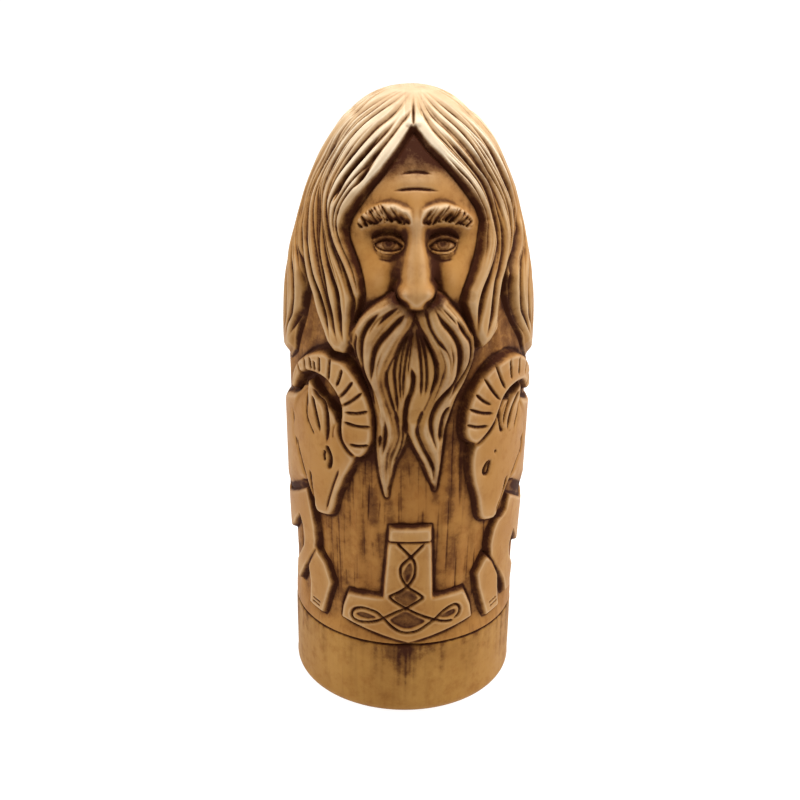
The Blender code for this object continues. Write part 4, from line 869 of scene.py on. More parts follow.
# Where the hair is one surface, on both sides of a seam and over the top of the head
JOIN_FOOT = 85.8
JOIN_HALF = 9.0
HEAD_TOP = 126.0
HEAD_TOP_START = 20.0
HAIR_MASK = np.zeros((NR, NC))
CROWN_FADE = 1.0 - 0.48 * rise(Z, *CROWN_RAMP) - 0.3 * rise(Z, *TIP_RAMP)


def back_lines():
    """Strands down the back from seam to seam, by the height, spread and bend of each step."""
    lines = []
    last = BACK_STRANDS - 1
    for i in range(BACK_STRANDS):
        away = (180.0 - BACK_SEAM_ANGLE) * (2.0 * i / last - 1.0)
        sway = BACK_BEND * math.sin(2.4 * i) if 0 < i < last else 0.0
        lines.append([(180.0 + away * spread + sway * bend, z) for z, spread, bend in BACK_STEPS])
    return lines


def carve_back_hair():
    """The hair of the back and sides."""
    half = back_seam(1.0)[::-1] + BACK_HEM
    back = half + [(180.0, 81.0)] + [(360.0 - a, z) for a, z in half[::-1]]
    raise_region("hair_back", back, 0.0, 1.2, 2.4, contour=0.3, straight=True)
    for side, sign in SIDES.items():
        seam = SIDE_SEAM[side]
        points = [(seam[-1][0], TOTAL_HEIGHT)] + seam[::-1] + SIDE_EDGE[side] + back_seam(sign)
        raise_region("hair_" + side + "_side", points, 0.0, 1.2, 2.4, contour=0.3, straight=True)
    heal_seams()
    mask = HAIR_MASK * CROWN_FADE
    comb(back_lines(), mask, BACK_GROOVE, 4, 0.42)
    for sign in SIDES.values():
        lines = [turned(line, sign) for line in SIDE_LINES]
        comb(lines, mask, SIDE_GROOVE, 3, 0.4, ends=True)


def heal_seams():
    """Join the back and side hair, so that no step shows where their nodes meet."""
    for name in ("hair_back", "hair_left_side", "hair_right_side"):
        HAIR_MASK[:] = np.maximum(HAIR_MASK, MASKS[name])
    join = (Z > JOIN_FOOT) & (np.abs(AWAY - BACK_SEAM_ANGLE) < JOIN_HALF)
    top = (Z > HEAD_TOP) & (AWAY > HEAD_TOP_START)
    DEPTH[join | top] = 0.0
    HAIR_MASK[join | top] = 1.0


def carve_front_hair():
    """The two curtains of hair beside the face."""
    for side in SIDES:
        seam = SIDE_SEAM[side]
        points = ([(PARTING[0], TOTAL_HEIGHT), PARTING] + FACE_EDGE[side] + FRONT_FOOT[side]
                  + seam + [(seam[-1][0], TOTAL_HEIGHT)])
        raise_region("hair_" + side + "_front", points, -0.1, 1.0, 2.0, wall=0.85, contour=0.2,
                     straight=True, shift=0.5)
    join_parting()
    for seam in SIDE_SEAM.values():
        last = seam[-1][0]
        melt(seam[2:] + [(last * 0.9, 138.6), (last * 0.8, 139.6)], 3.4, 1.6)
    for side in SIDES:
        mask = MASKS["hair_" + side + "_front"] * CROWN_FADE
        comb(HAIR_LINES[side], mask, FRONT_GROOVE, 3, 0.5)
    tops = [line[0][0] for line in back_lines()[1:-1]]
    tops += [sign * line[0][0] for line in SIDE_LINES[1:] for sign in SIDES.values()]
    for angle in tops:
        swirl = rng.uniform(-4.0, 4.0)
        points = [(angle, 133.2), (angle, 135.8), (angle + swirl, 138.0),
                  (angle + 2.0 * swirl, 139.5)]
        groove(points, 0.75, 0.42, 1.1, 0.22, 0.2, 0.45)
    for line in LEFT_SHORT:
        groove(line, 0.85, 0.95, 1.2, 0.5, 0.2, 0.2, MASKS["hair_left_front"] * CROWN_FADE)


def join_parting():
    """Above the forehead the two sides of the hair meet in a fine line that fades at the crown."""
    gap = np.radians(TURN - PARTING[0]) * ROW_R[:, None]
    fade = 1.0 - rise(Z, 135.6, 3.2)
    limit = -0.05 + (0.6 * bell(gap, 0.32) + 0.25 * bell(gap, 1.4)) * fade
    above = ease((Z - 132.9 - 0.25 * np.abs(gap)) / 0.7) * ease((100.0 - AWAY) / 30.0)
    above = np.maximum(above, rise(Z, 135.8, 2.5))
    DEPTH[:] = DEPTH + above * (np.minimum(DEPTH, limit) - DEPTH)
    STAIN_AND_SHADE[:] *= 1.0 - above
    RELIEF[:] = np.maximum(RELIEF, above)
    left = TURN < PARTING[0]
    for name, side in (("hair_left_front", left), ("hair_right_front", ~left)):
        MASKS[name][:] = np.maximum(MASKS[name], above * side)
        LABEL[(above > 0.5) & side & (AWAY < 14.0)] = NAMES.index(name)


# Beard: the outer and inner run of each half, then grooves as (line, width, depth)
MOUSTACHE_LINES = {
    "left": ([(-0.4, 100), (-6, 101.8), (-14, 100.4), (-21, 97), (-26.5, 92.6), (-27, 89.5),
              (-24, 84.8), (-19, 80.6), (-16.2, 76), (-15.4, 71), (-15.8, 66.5), (-14.2, 61.5),
              (-11.6, 56.2)],
             [(-0.4, 97.6)] + MOUSTACHE["left"][:-9:-1]
             + [(-8.4, 68), (-10.6, 64.6), (-11.2, 60), (-11.5, 57)]),
    "right": ([(0.4, 100), (6, 102), (13, 101.2), (21, 97), (27, 92.4), (28, 88.8), (25, 83.8),
               (19.5, 79.2), (16.4, 75), (14.4, 70.6), (13.4, 65.2), (12.2, 60.6), (11.4, 57.8)],
              [(0.4, 97.8)] + MOUSTACHE["right"][:-10:-1]
              + [(9, 65.2), (10.8, 62.4), (11.3, 58.6)]),
}
MOUSTACHE_GROOVES = {
    "left": [([(-5.4, 99.7), (-12.2, 97.1), (-16.8, 94.2)], 0.62, 0.8),
             ([(-3.2, 98.2), (-9.6, 94.8), (-14.9, 91.4), (-17.6, 87.9),
               (-18.5, 82)], 0.75, 0.95),
             ([(-14.1, 98.3), (-20, 95), (-22.7, 91.6), (-22.9, 87.6), (-22, 83.9), (-18.8, 80.4),
               (-16.6, 77)], 0.75, 0.95),
             ([(-25, 93.4), (-26.2, 89.2), (-24.6, 85.3), (-22, 82.2)], 0.6, 0.7),
             ([(-9.8, 98.6), (-16.5, 95.8), (-20.3, 92)], 0.4, 0.35),
             ([(-12.1, 75), (-12.1, 70.1), (-13.8, 64.6)], 0.8, 1),
             ([(-14, 71.2), (-15, 67.4)], 0.6, 0.8),
             ([(-13, 90.2), (-15.6, 86), (-15.4, 82)], 0.35, 0.25)],
    "right": [([(4.2, 99.3), (6.4, 95.2), (10.1, 91.9), (14.4, 89.3)], 0.62, 0.75),
              ([(7.7, 99.3), (11.9, 96), (16.3, 93.4), (19.6, 90.3), (20.2, 85.9), (18.6, 82.4),
                (12.7, 79.4), (9.7, 76.9), (7.9, 73.8), (9, 70.5), (11.9, 66)], 0.8, 1.05),
              ([(17.5, 96.8), (21.8, 93.4), (25.2, 90.8), (25.4, 86.8), (22.1, 83.3), (17.1, 79.8),
                (13.4, 78.2)], 0.72, 0.95),
              ([(13.8, 100.6), (20.2, 97.5), (24.6, 94.4), (27, 91.2)], 0.5, 0.5),
              ([(10.6, 99.4), (16, 96.6), (19.6, 94.2)], 0.4, 0.4),
              ([(17, 77.4), (13.9, 75.5), (12.6, 72.7), (12.3, 68.6)], 0.8, 1),
              ([(15, 91.8), (17, 87.6), (15.6, 83.8)], 0.35, 0.25)],
}
CHIN_GROOVES = [([(-2.4, 95), (-6.4, 90), (-8.5, 85.5), (-8.1, 82.1), (-7.1, 78),
                  (-6.6, 75)], 0.6, 0.8),
                ([(-1.5, 95.4), (-4.9, 89.6), (-6.1, 84.6), (-5.9, 81), (-5.2, 77.6)], 0.5, 0.75),
                ([(-0.9, 95), (-3.2, 88.7), (-4.3, 84.4), (-4.5, 81.2), (-4.4, 78.4)], 0.55, 0.8),
                ([(-0.2, 94.6), (-1.6, 89.4), (-2.4, 85.8), (-2.6, 83.4)], 0.4, 0.45),
                ([(-1.4, 86.4), (-0.1, 83.7), (-0.7, 80.9), (-2.6, 78.4), (-3.5, 74.5),
                  (-2.9, 70)], 0.75, 1.05),
                ([(0.6, 95.2), (2.8, 88.6), (3.6, 83.4), (3.1, 79.1)], 0.55, 0.75),
                ([(1.4, 95.2), (5, 88.8), (6, 83.1), (4.9, 79.4)], 0.55, 0.8),
                ([(2.6, 94.8), (7.8, 89.6), (9.9, 85.8), (9.5, 82.6), (6.8, 79.5)], 0.6, 0.8),
                ([(-12.4, 86), (-11.6, 82.6), (-9.8, 79), (-7.8, 75.4)], 0.45, 0.5),
                ([(-4.6, 73.4), (-4.4, 70), (-5.9, 66.6), (-8.9, 63.4)], 0.6, 0.8),
                ([(2.4, 72.6), (5.2, 69), (8.8, 65.3), (11.2, 61.6)], 0.75, 1)]
MOUSTACHE_STRANDS = 16


def chin_sink(index, s):
    """The beard sinks back towards the mouth."""
    return 0.55 * rise(ROW_Z[index[0]], 77.0, 14.0)


def carve_beard():
    """The fan of the chin beard, its two locks and the moustache over them."""
    raise_region("beard_chin", BEARD_CHIN, 0.65, 0.25, 1.0, contour=0.0, form=chin_sink)
    raise_region("beard_lock_left", BEARD_LOCK["left"], 0.55, 0.4, 1.0, contour=0.2)
    raise_region("beard_lock_right", BEARD_LOCK["right"], 0.45, 0.4, 1.0, contour=0.2)
    melt([(-8.6, 75.6), (-4.5, 75.2), (0.5, 75.2), (5.0, 75.4)], 2.2, 1.0)
    beard = np.maximum(MASKS["beard_chin"],
                       np.maximum(MASKS["beard_lock_left"], MASKS["beard_lock_right"]))
    for points, width, deep in CHIN_GROOVES:
        groove(points, width, deep, 0.8, 0.3 * deep, 0.15, 0.2, beard)
    # Painted shadow of the moustache over the top of the chin beard
    darken(slice(None), MASKS["beard_chin"] * 0.5 * rise(Z, 86.5, 7.0))
    for side in SIDES:
        carve_moustache(side)


def carve_moustache(side):
    """One half of the moustache, with its main grooves and fine strands."""
    name = "moustache_" + side
    raise_region(name, MOUSTACHE[side], -0.15, 0.95, 1.6, contour=0.3)
    # Painted shade over the whole moustache
    darken(slice(None), 0.14 * MASKS[name])
    for points, width, deep in MOUSTACHE_GROOVES[side]:
        taper = 0.15 if len(points) > 3 else 0.4
        groove(points, width, deep, 1.0, deep * 0.35, taper, taper + 0.08, MASKS[name])
    outer, inner = (smooth_curve(line) for line in MOUSTACHE_LINES[side])
    for _ in range(MOUSTACHE_STRANDS):
        t0 = rng.uniform(0.0, 0.7)
        part = rng.uniform(0.05, 0.95)
        curve = between(outer, inner, part, t0, t0 + rng.uniform(0.12, 0.3), 0.03)
        groove(curve, 0.28, rng.uniform(0.06, 0.2), 0.8, 0.08, 0.3, 0.3, MASKS[name])


# Face sizes: a head 57 mm tall, with its eyes half way up and five eyes wide
FACE_CENTRE = 0.6
HEAD_HEIGHT = 57.0
CHIN = TOTAL_HEIGHT - HEAD_HEIGHT
EYE_Z = CHIN + HEAD_HEIGHT / 2.0
NOSE_FOOT = CHIN + 17.0
NOSE_HEIGHT = 17.0
BROW_Z = NOSE_FOOT + NOSE_HEIGHT
BROW_INNER = 4.2
BROW_OUTER = 31.0
BROW_HAIRS = 30
BROW_HALF = 1.9
BROW_STANDS = 1.2
EYE_ANGLE = 14.3
EYE_HALF = 7.7
IRIS_RADIUS = 1.2
EYE_TO_AXIS = 20.5
FACE_INSET = 4.0
WRINKLES = ((5.4, 15.0), (8.6, 11.0))
NOSE_TIP = [(-9.6, 3.4), (-9.8, 1.6), (-8, 0.2), (-5, -0.2), (-2.4, -1.2), (0, -1.5), (2.4, -1.2),
            (5, -0.2), (8, 0.2), (9.8, 1.6), (9.6, 3.4), (4, 6), (-4, 6)]


def face_places(index):
    """Height of each grid row of a block, and how far its columns lie from the nose."""
    r = ROW_R[index[0]]
    turn = (ANGLES[index[1]] - FACE_CENTRE + 180.0) % 360.0 - 180.0
    return ROW_Z[index[0]], r, np.radians(turn) * (r - FACE_INSET)


def brow_line(t):
    """Height of a brow's middle, from its inner end at 0 to its outer end at 1."""
    return BROW_Z - 0.5 + 1.5 * np.sin(math.pi * (0.12 + 0.74 * t)) - 1.9 * t ** 2


def face_depth(index, s):
    """A calm, plain face on even proportions, as depth below the skin."""
    z, r, x = face_places(index)
    side = np.abs(x)
    depth = 2.5 + 0.35 * np.clip(side / 13.0, 0.0, 1.4) ** 2
    depth = depth + 0.35 * (1.0 - rise(s, 0.1, 1.2))
    depth = depth - 0.7 * bell(x, 8.0) * rise(z, BROW_Z, 5.0) * (1.0 - rise(z, 125.0, 6.0))
    depth = depth - 0.5 * rise(z, 126.0, 6.0)
    arch = brow_line(share(side, 1.6, 9.0))
    depth = depth - 1.0 * bell(z - arch, 2.0) * rise(side, 0.4, 2.0) * ease((13.0 - side) / 3.6)
    depth = depth - 0.5 * bell(x, 2.4) * bell(z - BROW_Z, 3.4)
    depth = depth + 1.7 * bell(side - 5.2, 3.8) * bell(z - EYE_Z - 0.8, 2.9)
    depth = depth - 1.0 * bell(side - 7.6, 3.8) * bell(z - EYE_Z + 8.0, 4.3)
    depth = depth + 0.9 * bell(side - 4.3, 1.3) * bell(z - NOSE_FOOT - 3.6, 4.6)
    along = (BROW_Z - z) / NOSE_HEIGHT
    width = 1.55 + 1.2 * ease(along)
    ridge = (1.1 + 2.3 * ease(along)) * (1.0 - rise(along, 1.06, 0.09)) * ease((along + 0.3) / 0.4)
    depth = depth - ridge * np.exp(-(side / width) ** 3.0)
    depth = depth - 1.9 * bell(side - 2.75, 1.2) * bell(z - NOSE_FOOT - 1.9, 1.6)
    depth = depth - 0.5 * bell(x, 1.9) * bell(z - NOSE_FOOT - 2.1, 1.9)
    eye = math.radians(EYE_ANGLE) * (r - FACE_INSET)
    ball = np.clip(1.0 - ((side - eye) / 3.1) ** 2 - ((z - EYE_Z) / 2.0) ** 2, 0.0, 1.0)
    return depth - 1.5 * np.sqrt(ball)


def carve_face():
    """The face in its hollow, with lids, irises and bushy brows."""
    index, s = raise_region("face", FACE, 0.0, 0.0, 1.0, contour=0.0, reach=6.0, form=face_depth)
    face = MASKS["face"]
    z, _, x = face_places(index)
    side = np.abs(x)
    shade = 0.7 * (1.0 - rise(s, 0.1, 0.9)) + 0.25 * bell(s, 3.0) * rise(z, 112.0, 8.0)
    shade = shade + 0.85 * rise(z, 123.0, 5.5)
    shade = np.maximum(shade, 0.55 * bell(side - 5.4, 4.2) * bell(z - EYE_Z - 2.2, 2.0))
    shade = np.maximum(shade, 0.5 * bell(side - 4.2, 1.2) * bell(z - NOSE_FOOT - 4.0, 5.0))
    shade = np.maximum(shade, 0.75 * bell(side - 8.0, 5.0) * bell(z - NOSE_FOOT + 2.0, 1.8))
    darken(index, shade * (s > -1.0))
    for lift, reach in WRINKLES:
        wrinkle = [(FACE_CENTRE + reach * t,
                    BROW_Z + lift + 0.6 * math.cos(math.pi * t / 2.0) - 0.6)
                   for t in (-1.0, -0.5, 0.0, 0.5, 1.0)]
        groove(wrinkle, 0.5, 0.4, 1.2, 0.25, 0.3, 0.3, face)
    for sign in SIDES.values():
        middle = FACE_CENTRE + sign * 7.0
        wing = [(middle + sign * 0.6, NOSE_FOOT + 5.4), (middle + sign * 4.2, NOSE_FOOT + 3.2),
                (middle + sign * 4.6, NOSE_FOOT + 0.4)]
        groove(wing, 0.5, 0.4, 1.0, 0.2, 0.3, 0.2, face)
    for side, sign in SIDES.items():
        carve_eye(side, sign, face)
        carve_brow(side, sign)


def carve_eye(side, sign, face):
    """One eye: lids round an almond, and an iris half under the upper lid."""
    middle = FACE_CENTRE + sign * EYE_ANGLE

    def spots(*places):
        return [(middle + sign * across * EYE_HALF, EYE_Z + up) for across, up in places]

    upper = spots((-1.0, -0.5), (-0.55, 0.62), (0.0, 1.0), (0.6, 0.66), (1.08, -0.2))
    lower = spots((-0.95, -0.6), (-0.4, -1.15), (0.15, -1.3), (0.65, -0.95), (1.08, -0.25))
    lid = spots((-0.95, 0.35), (-0.5, 1.4), (0.0, 1.8), (0.65, 1.42), (1.25, 0.25))
    fold = spots((-1.0, 1.15), (-0.5, 2.3), (0.1, 2.7), (0.8, 2.2), (1.4, 0.8))
    below = spots((-0.9, -1.2), (-0.3, -1.95), (0.3, -2.0), (0.95, -1.2))
    bag = spots((-0.95, -2.2), (-0.1, -3.3), (0.8, -2.9))
    groove(lid, 0.8, -0.6, start=0.12, end=0.12, mask=face)
    groove(below, 0.75, -0.35, start=0.2, end=0.2, mask=face)
    groove(upper, 0.5, 0.8, 0.6, 0.2, 0.05, 0.05, face)
    groove(lower, 0.4, 0.6, 0.5, 0.12, 0.08, 0.08, face)
    groove(fold, 0.5, 0.6, 0.9, 0.3, 0.15, 0.15, face)
    groove(bag, 0.4, 0.14, 1.1, 0.2, 0.25, 0.25, face)
    index, s = signed(upper + lower[::-1], 1.5)
    almond = np.zeros((NR, NC))
    almond[index] = within(s, 0.3)
    name_piece("eye_" + side, index, s > -MARGIN)
    STAIN_AND_SHADE[index] = np.maximum(STAIN_AND_SHADE[index] * (1.0 - almond[index]), 0.42 * almond[index])
    wide = math.degrees(IRIS_RADIUS / EYE_TO_AXIS)
    ring = [(middle + wide * math.cos(t), EYE_Z + 0.15 + IRIS_RADIUS * math.sin(t))
            for t in np.linspace(0.0, 2.0 * math.pi, 16, endpoint=False)]
    index, s = signed(ring, 1.6)
    DEPTH[index] += 0.12 * within(s, 0.3) * almond[index]
    darken(index, 0.66 * within(s, 0.3) * almond[index])
    groove(ring, 0.28, 0.3, closed=True, start=0.0, end=0.0, mask=almond)
    DEPTH[index] += 0.35 * rise(s, 0.5, 0.35) * almond[index]
    darken(index, rise(s, 0.45, 0.3) * almond[index])


def carve_brow(side, sign):
    """One bushy brow over an eye, with slanting cuts that follow the hairs."""
    upper = []
    lower = []
    for i in range(9):
        t = i / 8.0
        angle = FACE_CENTRE + sign * (BROW_INNER + (BROW_OUTER - BROW_INNER) * t)
        half = BROW_HALF * math.sin(math.pi * (0.14 + 0.80 * t)) ** 0.8 * (1.0 - 0.25 * t)
        upper.append((angle, brow_line(t) + half))
        lower.append((angle, brow_line(t) - half))
    index, s = signed(upper + lower[::-1], 3.0)
    DEPTH[index] -= BROW_STANDS * ease(0.45 + s / 2.2)
    STAIN_AND_SHADE[index] *= 1.0 - ease(0.7 + s / 0.8)
    mask = np.zeros((NR, NC))
    mask[index] = ease(1.0 + s / 0.9)
    for i in range(BROW_HAIRS):
        t = i / (BROW_HAIRS - 1.0) + rng.uniform(-0.02, 0.02)
        angle = FACE_CENTRE + sign * (BROW_INNER + (BROW_OUTER - BROW_INNER) * t)
        lean = sign * rng.uniform(3.4, 5.6) * (0.8 + 0.6 * t)
        high = rng.choice([-0.2, 0.6, 1.6]) + rng.uniform(-0.3, 0.5)
        low = brow_line(t) - rng.uniform(1.4, 2.4) * (1.0 - 0.35 * t)
        deep = rng.uniform(0.35, 0.8)
        hair = [(angle - lean * 0.4, low), (angle + lean * 0.2, (low + brow_line(t) + high) / 2.0),
                (angle + lean, brow_line(t) + high)]
        groove(hair, 0.42, deep, 0.6, deep * 0.35, 0.1, 0.4, mask)
    name_piece("brow_" + side, index, s > -0.2)


def carve_nose_tip(face_surface, face_stain_and_shade):
    """The end of the nose, over the top of the moustache."""
    index, s = signed([(FACE_CENTRE + a, NOSE_FOOT + z) for a, z in NOSE_TIP], 2.5)
    low = 1.0 - ease((ROW_Z[index[0]] - NOSE_FOOT - 1.2) / 1.4)
    m = ease(0.7 + s / 0.5)
    surface = face_surface[index] + low * 0.9 * (1.0 - ease(s / 1.3))
    DEPTH[index] += low * 0.5 * bell(s + 0.3, 0.35)
    DEPTH[index] += m * (surface - DEPTH[index])
    # Painted shadow under the nose
    under = 0.8 * bell(s + 0.6, 1.3) * low
    STAIN_AND_SHADE[index] = np.maximum(STAIN_AND_SHADE[index], under) * (1.0 - m) + face_stain_and_shade[index] * m
    LABEL[index] = np.where(s > -0.25, NAMES.index("face"), LABEL[index])


# Fullness of the head by height, minus for fuller than the skin
HEAD_HEIGHTS = [108.0, 113.0, 118.0, 124.0, 129.0, 133.0, 137.0, 139.0, 139.7]
HEAD_FILL = [0.0, -0.15, -0.5, -0.65, -0.75, -0.7, -0.4, -0.1, 0.12]


def fill_out_head():
    """The head is a little fuller than the skin all round below its crown."""
    lean = 0.3 - 0.5 * rise(Z, 127.0, 8.0)
    DEPTH[:] += np.interp(Z, HEAD_HEIGHTS, HEAD_FILL) * (1.0 + lean * np.sin(AA)[None, :])


# Blur, wash, painted shade and painted highlight
def blur_weights(size, step):
    """Bell weights of a blur, from one side of a place to the other."""
    half = int(math.ceil(2.5 * size / step))
    return half, np.exp(-0.5 * (np.arange(-half, half + 1) * step / size) ** 2)


def blurred(values, size):
    """The values blurred over a distance in mm."""
    half, kernel = blur_weights(size, ROWS[1] - ROWS[0])
    kernel /= kernel.sum()
    padded = np.pad(values, ((half, half), (0, 0)), mode="edge")
    down = np.zeros_like(values)
    for i, weight in enumerate(kernel):
        down += weight * padded[i:i + NR]
    half, kernel = blur_weights(size, math.radians(FRONT_STEP) * 26.0)
    out = np.zeros_like(values)
    for i, weight in enumerate(kernel):
        out += weight * np.roll(down, i - half, axis=1)
    return out / kernel.sum()


def slopes():
    """How steep the relief is at each place."""
    down = np.gradient(DEPTH, axis=0) / (ROWS[1] - ROWS[0])
    across = (np.roll(DEPTH, -1, axis=1) - np.roll(DEPTH, 1, axis=1)) / 2.0
    across = across / (math.radians(FRONT_STEP) * np.maximum(ROW_R[:, None], 1.0))
    return np.hypot(down, across)


def soften_walls():
    """Round the steepest slopes a little, so that the mesh follows them evenly."""
    DEPTH[:] = DEPTH + rise(slopes(), 1.0, 1.5) * (blurred(DEPTH, WALL_BLUR) - DEPTH)


def wash_and_rub():
    """Where dark wash stays in the cuts, where painted shade lies round and under the forms, and
    where the high spots are rubbed pale under a painted highlight that grows towards the crown.
    """
    fine = DEPTH - blurred(DEPTH, FINE_BLUR)
    middle = DEPTH - blurred(DEPTH, MIDDLE_BLUR)
    broad = DEPTH - blurred(DEPTH, BROAD_BLUR)
    slope = rise(blurred(slopes(), WASH_AND_SHADE_BLUR), 0.35, 1.5)
    wash = 0.9 * np.clip(fine / 0.18, 0.0, 1.0) ** 0.85 + 0.6 * np.clip(middle / 0.5, 0.0, 1.0)
    wash = wash + 0.5 * share(broad, 0.05, 0.9) + 0.2 * slope
    # Painted highlight: less wash towards the crown
    wash = wash * (1.0 - 0.3 * rise(Z, *CROWN_HIGHLIGHT_WASH_RAMP))
    ground = 1.0 - RELIEF
    # Wash and painted shade on the ground round the forms
    halo = 0.5 * share(blurred(RELIEF, HALO_BLUR), 0.10, 0.45)
    halo = halo + 0.5 * share(blurred(RELIEF, WIDE_HALO_BLUR), 0.08, 0.5)
    wash = wash + halo * ground * (1.0 - 0.45 * ease((50.0 - Z) / 12.0))
    # Painted shade on the ground under the hair
    under_hair = rise(Z, *UNDER_HAIR_RAMP) * ease((88.0 - AWAY) / 12.0)
    wash = np.maximum(wash, 0.68 * under_hair * ground)
    wash = wash - 0.32 * np.clip(wash, 0.0, 1.0) * ground * (1.0 - slope)
    wash = wash + slope * (blurred(wash, WASH_AND_SHADE_BLUR) - wash)
    wash = wash + STAIN_AND_SHADE * (1.0 - 0.5 * np.clip(wash, 0.0, 1.0))
    # Rubbed high spots with a painted highlight on them, and a painted highlight growing towards
    # the crown
    rub = np.clip(-broad / 0.5, 0.0, 1.0) * 0.35 + np.clip(-fine / 0.10, 0.0, 1.0) * 0.25
    rub = rub * (1.0 - 0.5 * slope) + 0.7 * rise(Z, *CROWN_HIGHLIGHT_RAMP)
    return np.clip(wash, 0.0, 1.0), np.clip(rub, 0.0, 1.0)


# Building the meshes
def grid_faces():
    """Faces of the grid below the first row and the fan at the crown, each with its labels."""
    i = np.arange(1, NR - 1)[:, None]
    j = np.arange(NC)[None, :]
    k = (j + 1) % NC
    corners = np.broadcast_arrays(i * NC + j, (i + 1) * NC + j, (i + 1) * NC + k, i * NC + k)
    quads = np.stack(corners, axis=-1).reshape(-1, 4)
    fan = np.stack([np.zeros(NC, int), NC + j[0], NC + k[0]], axis=-1)
    return quads, LABEL[1:NR - 1].reshape(-1), fan, LABEL[1]


def boundary(quads, fan):
    """Directed edges that only one face of a piece uses."""
    edges = np.vstack([faces[:, [n, (n + 1) % faces.shape[1]]]
                       for faces in (quads, fan) for n in range(faces.shape[1])])
    size = NR * NC
    key = edges[:, 0] * size + edges[:, 1]
    back = edges[:, 1] * size + edges[:, 0]
    return edges[~np.isin(key, back)]


def grid_label(angle, u):
    """The label of the grid face at a place."""
    i = min(NR - 2, int(np.searchsorted(ROWS, u)) - 1)
    j = (int(np.searchsorted(ANGLES, on_grid(angle), "right")) - 1) % NC
    return LABEL[max(i, 1), j]


def seat_depth(angle, u):
    """How deep the hidden undersides lie."""
    z = float(np.interp(u, SKIN.u, SKIN.z))
    if NAMES[grid_label(angle, u)].startswith(("face", "eye", "brow")):
        return SEAT_FACE
    return SEAT + (SEAT_HEAD - SEAT) * float(rise(z, 86.0, 10.0))


def on_disc(angle, u):
    """A place of the skin, spread out flat round the crown."""
    a = math.radians(angle)
    return Vector((u * math.sin(a), -u * math.cos(a)))


def disc_angle(place):
    """The angle round the crown of a place on that disc."""
    return math.degrees(math.atan2(place.x, -place.y))


def cap(edges, wanted, gap):
    """A coarse hidden surface that closes a piece from behind: new points and triangles."""
    used = np.unique(edges).tolist()
    where = {v: n for n, v in enumerate(used)}
    places = [on_disc(ANGLES[v % NC], ROWS[v // NC]) for v in used]
    row = 0
    while (row + 0.5) * CAP_CELL < U_FOOT - 0.5:
        u = (row + 0.5) * CAP_CELL
        r = float(np.interp(u, SKIN.u, SKIN.r))
        steps = max(6, int(2.0 * math.pi * r / CAP_CELL))
        for n in range(steps):
            angle = 360.0 * (n + 0.5 * (row % 2)) / steps
            if wanted(grid_label(angle, u)):
                places.append(on_disc(angle, u))
        row += 1
    links = [(where[a], where[b]) for a, b in edges.tolist()]
    corners, _, found, origins = delaunay_2d_cdt(places, links, [], 0, 1e-6)[:4]
    triangles = []
    for triangle in found:
        centre = sum((corners[n] for n in triangle), Vector((0.0, 0.0))) / 3.0
        if centre.length < U_FOOT and wanted(grid_label(disc_angle(centre), centre.length)):
            triangles.append([int(n) for n in triangle])
    lookup = {}
    points = []
    for n in sorted({n for t in triangles for n in t}):
        angle = disc_angle(corners[n])
        u = corners[n].length
        lookup[n] = len(points)
        points.append(SKIN.place(angle, u, seat_depth(angle, u) - gap))
    low_of = {used[source]: lookup[n] for n, sources in enumerate(origins) if n in lookup
              for source in sources if source < len(used)}
    return points, [[lookup[n] for n in t] for t in triangles], low_of


def new_piece(name, coords, faces, **values):
    """A smooth mesh object on the root body, with the given values at its points."""
    mesh = bpy.data.meshes.new(name)
    mesh.from_pydata((coords * MM).tolist(), [], faces)
    mesh.validate()
    mesh.shade_smooth()
    for key, numbers in values.items():
        attribute = mesh.attributes.new(key, "FLOAT", "POINT")
        attribute.data.foreach_set("value", np.array(numbers, np.float32))
    obj = bpy.data.objects.new(name, mesh)
    bpy.context.collection.objects.link(obj)
    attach(obj, "root")
    return obj


def mark_sharp(mesh, sharp):
    """Keep the shading crisp along the edges given by their two corners."""
    keys = np.zeros(len(mesh.edges) * 2, int)
    mesh.edges.foreach_get("vertices", keys)
    keys = np.sort(keys.reshape(-1, 2), axis=1)
    size = len(mesh.vertices)
    sharp = np.sort(np.array(sharp).reshape(-1, 2), axis=1)
    flags = np.isin(keys[:, 0] * size + keys[:, 1], sharp[:, 0] * size + sharp[:, 1])
    attribute = mesh.attributes.new("sharp_edge", "BOOLEAN", "EDGE")
    attribute.data.foreach_set("value", flags)


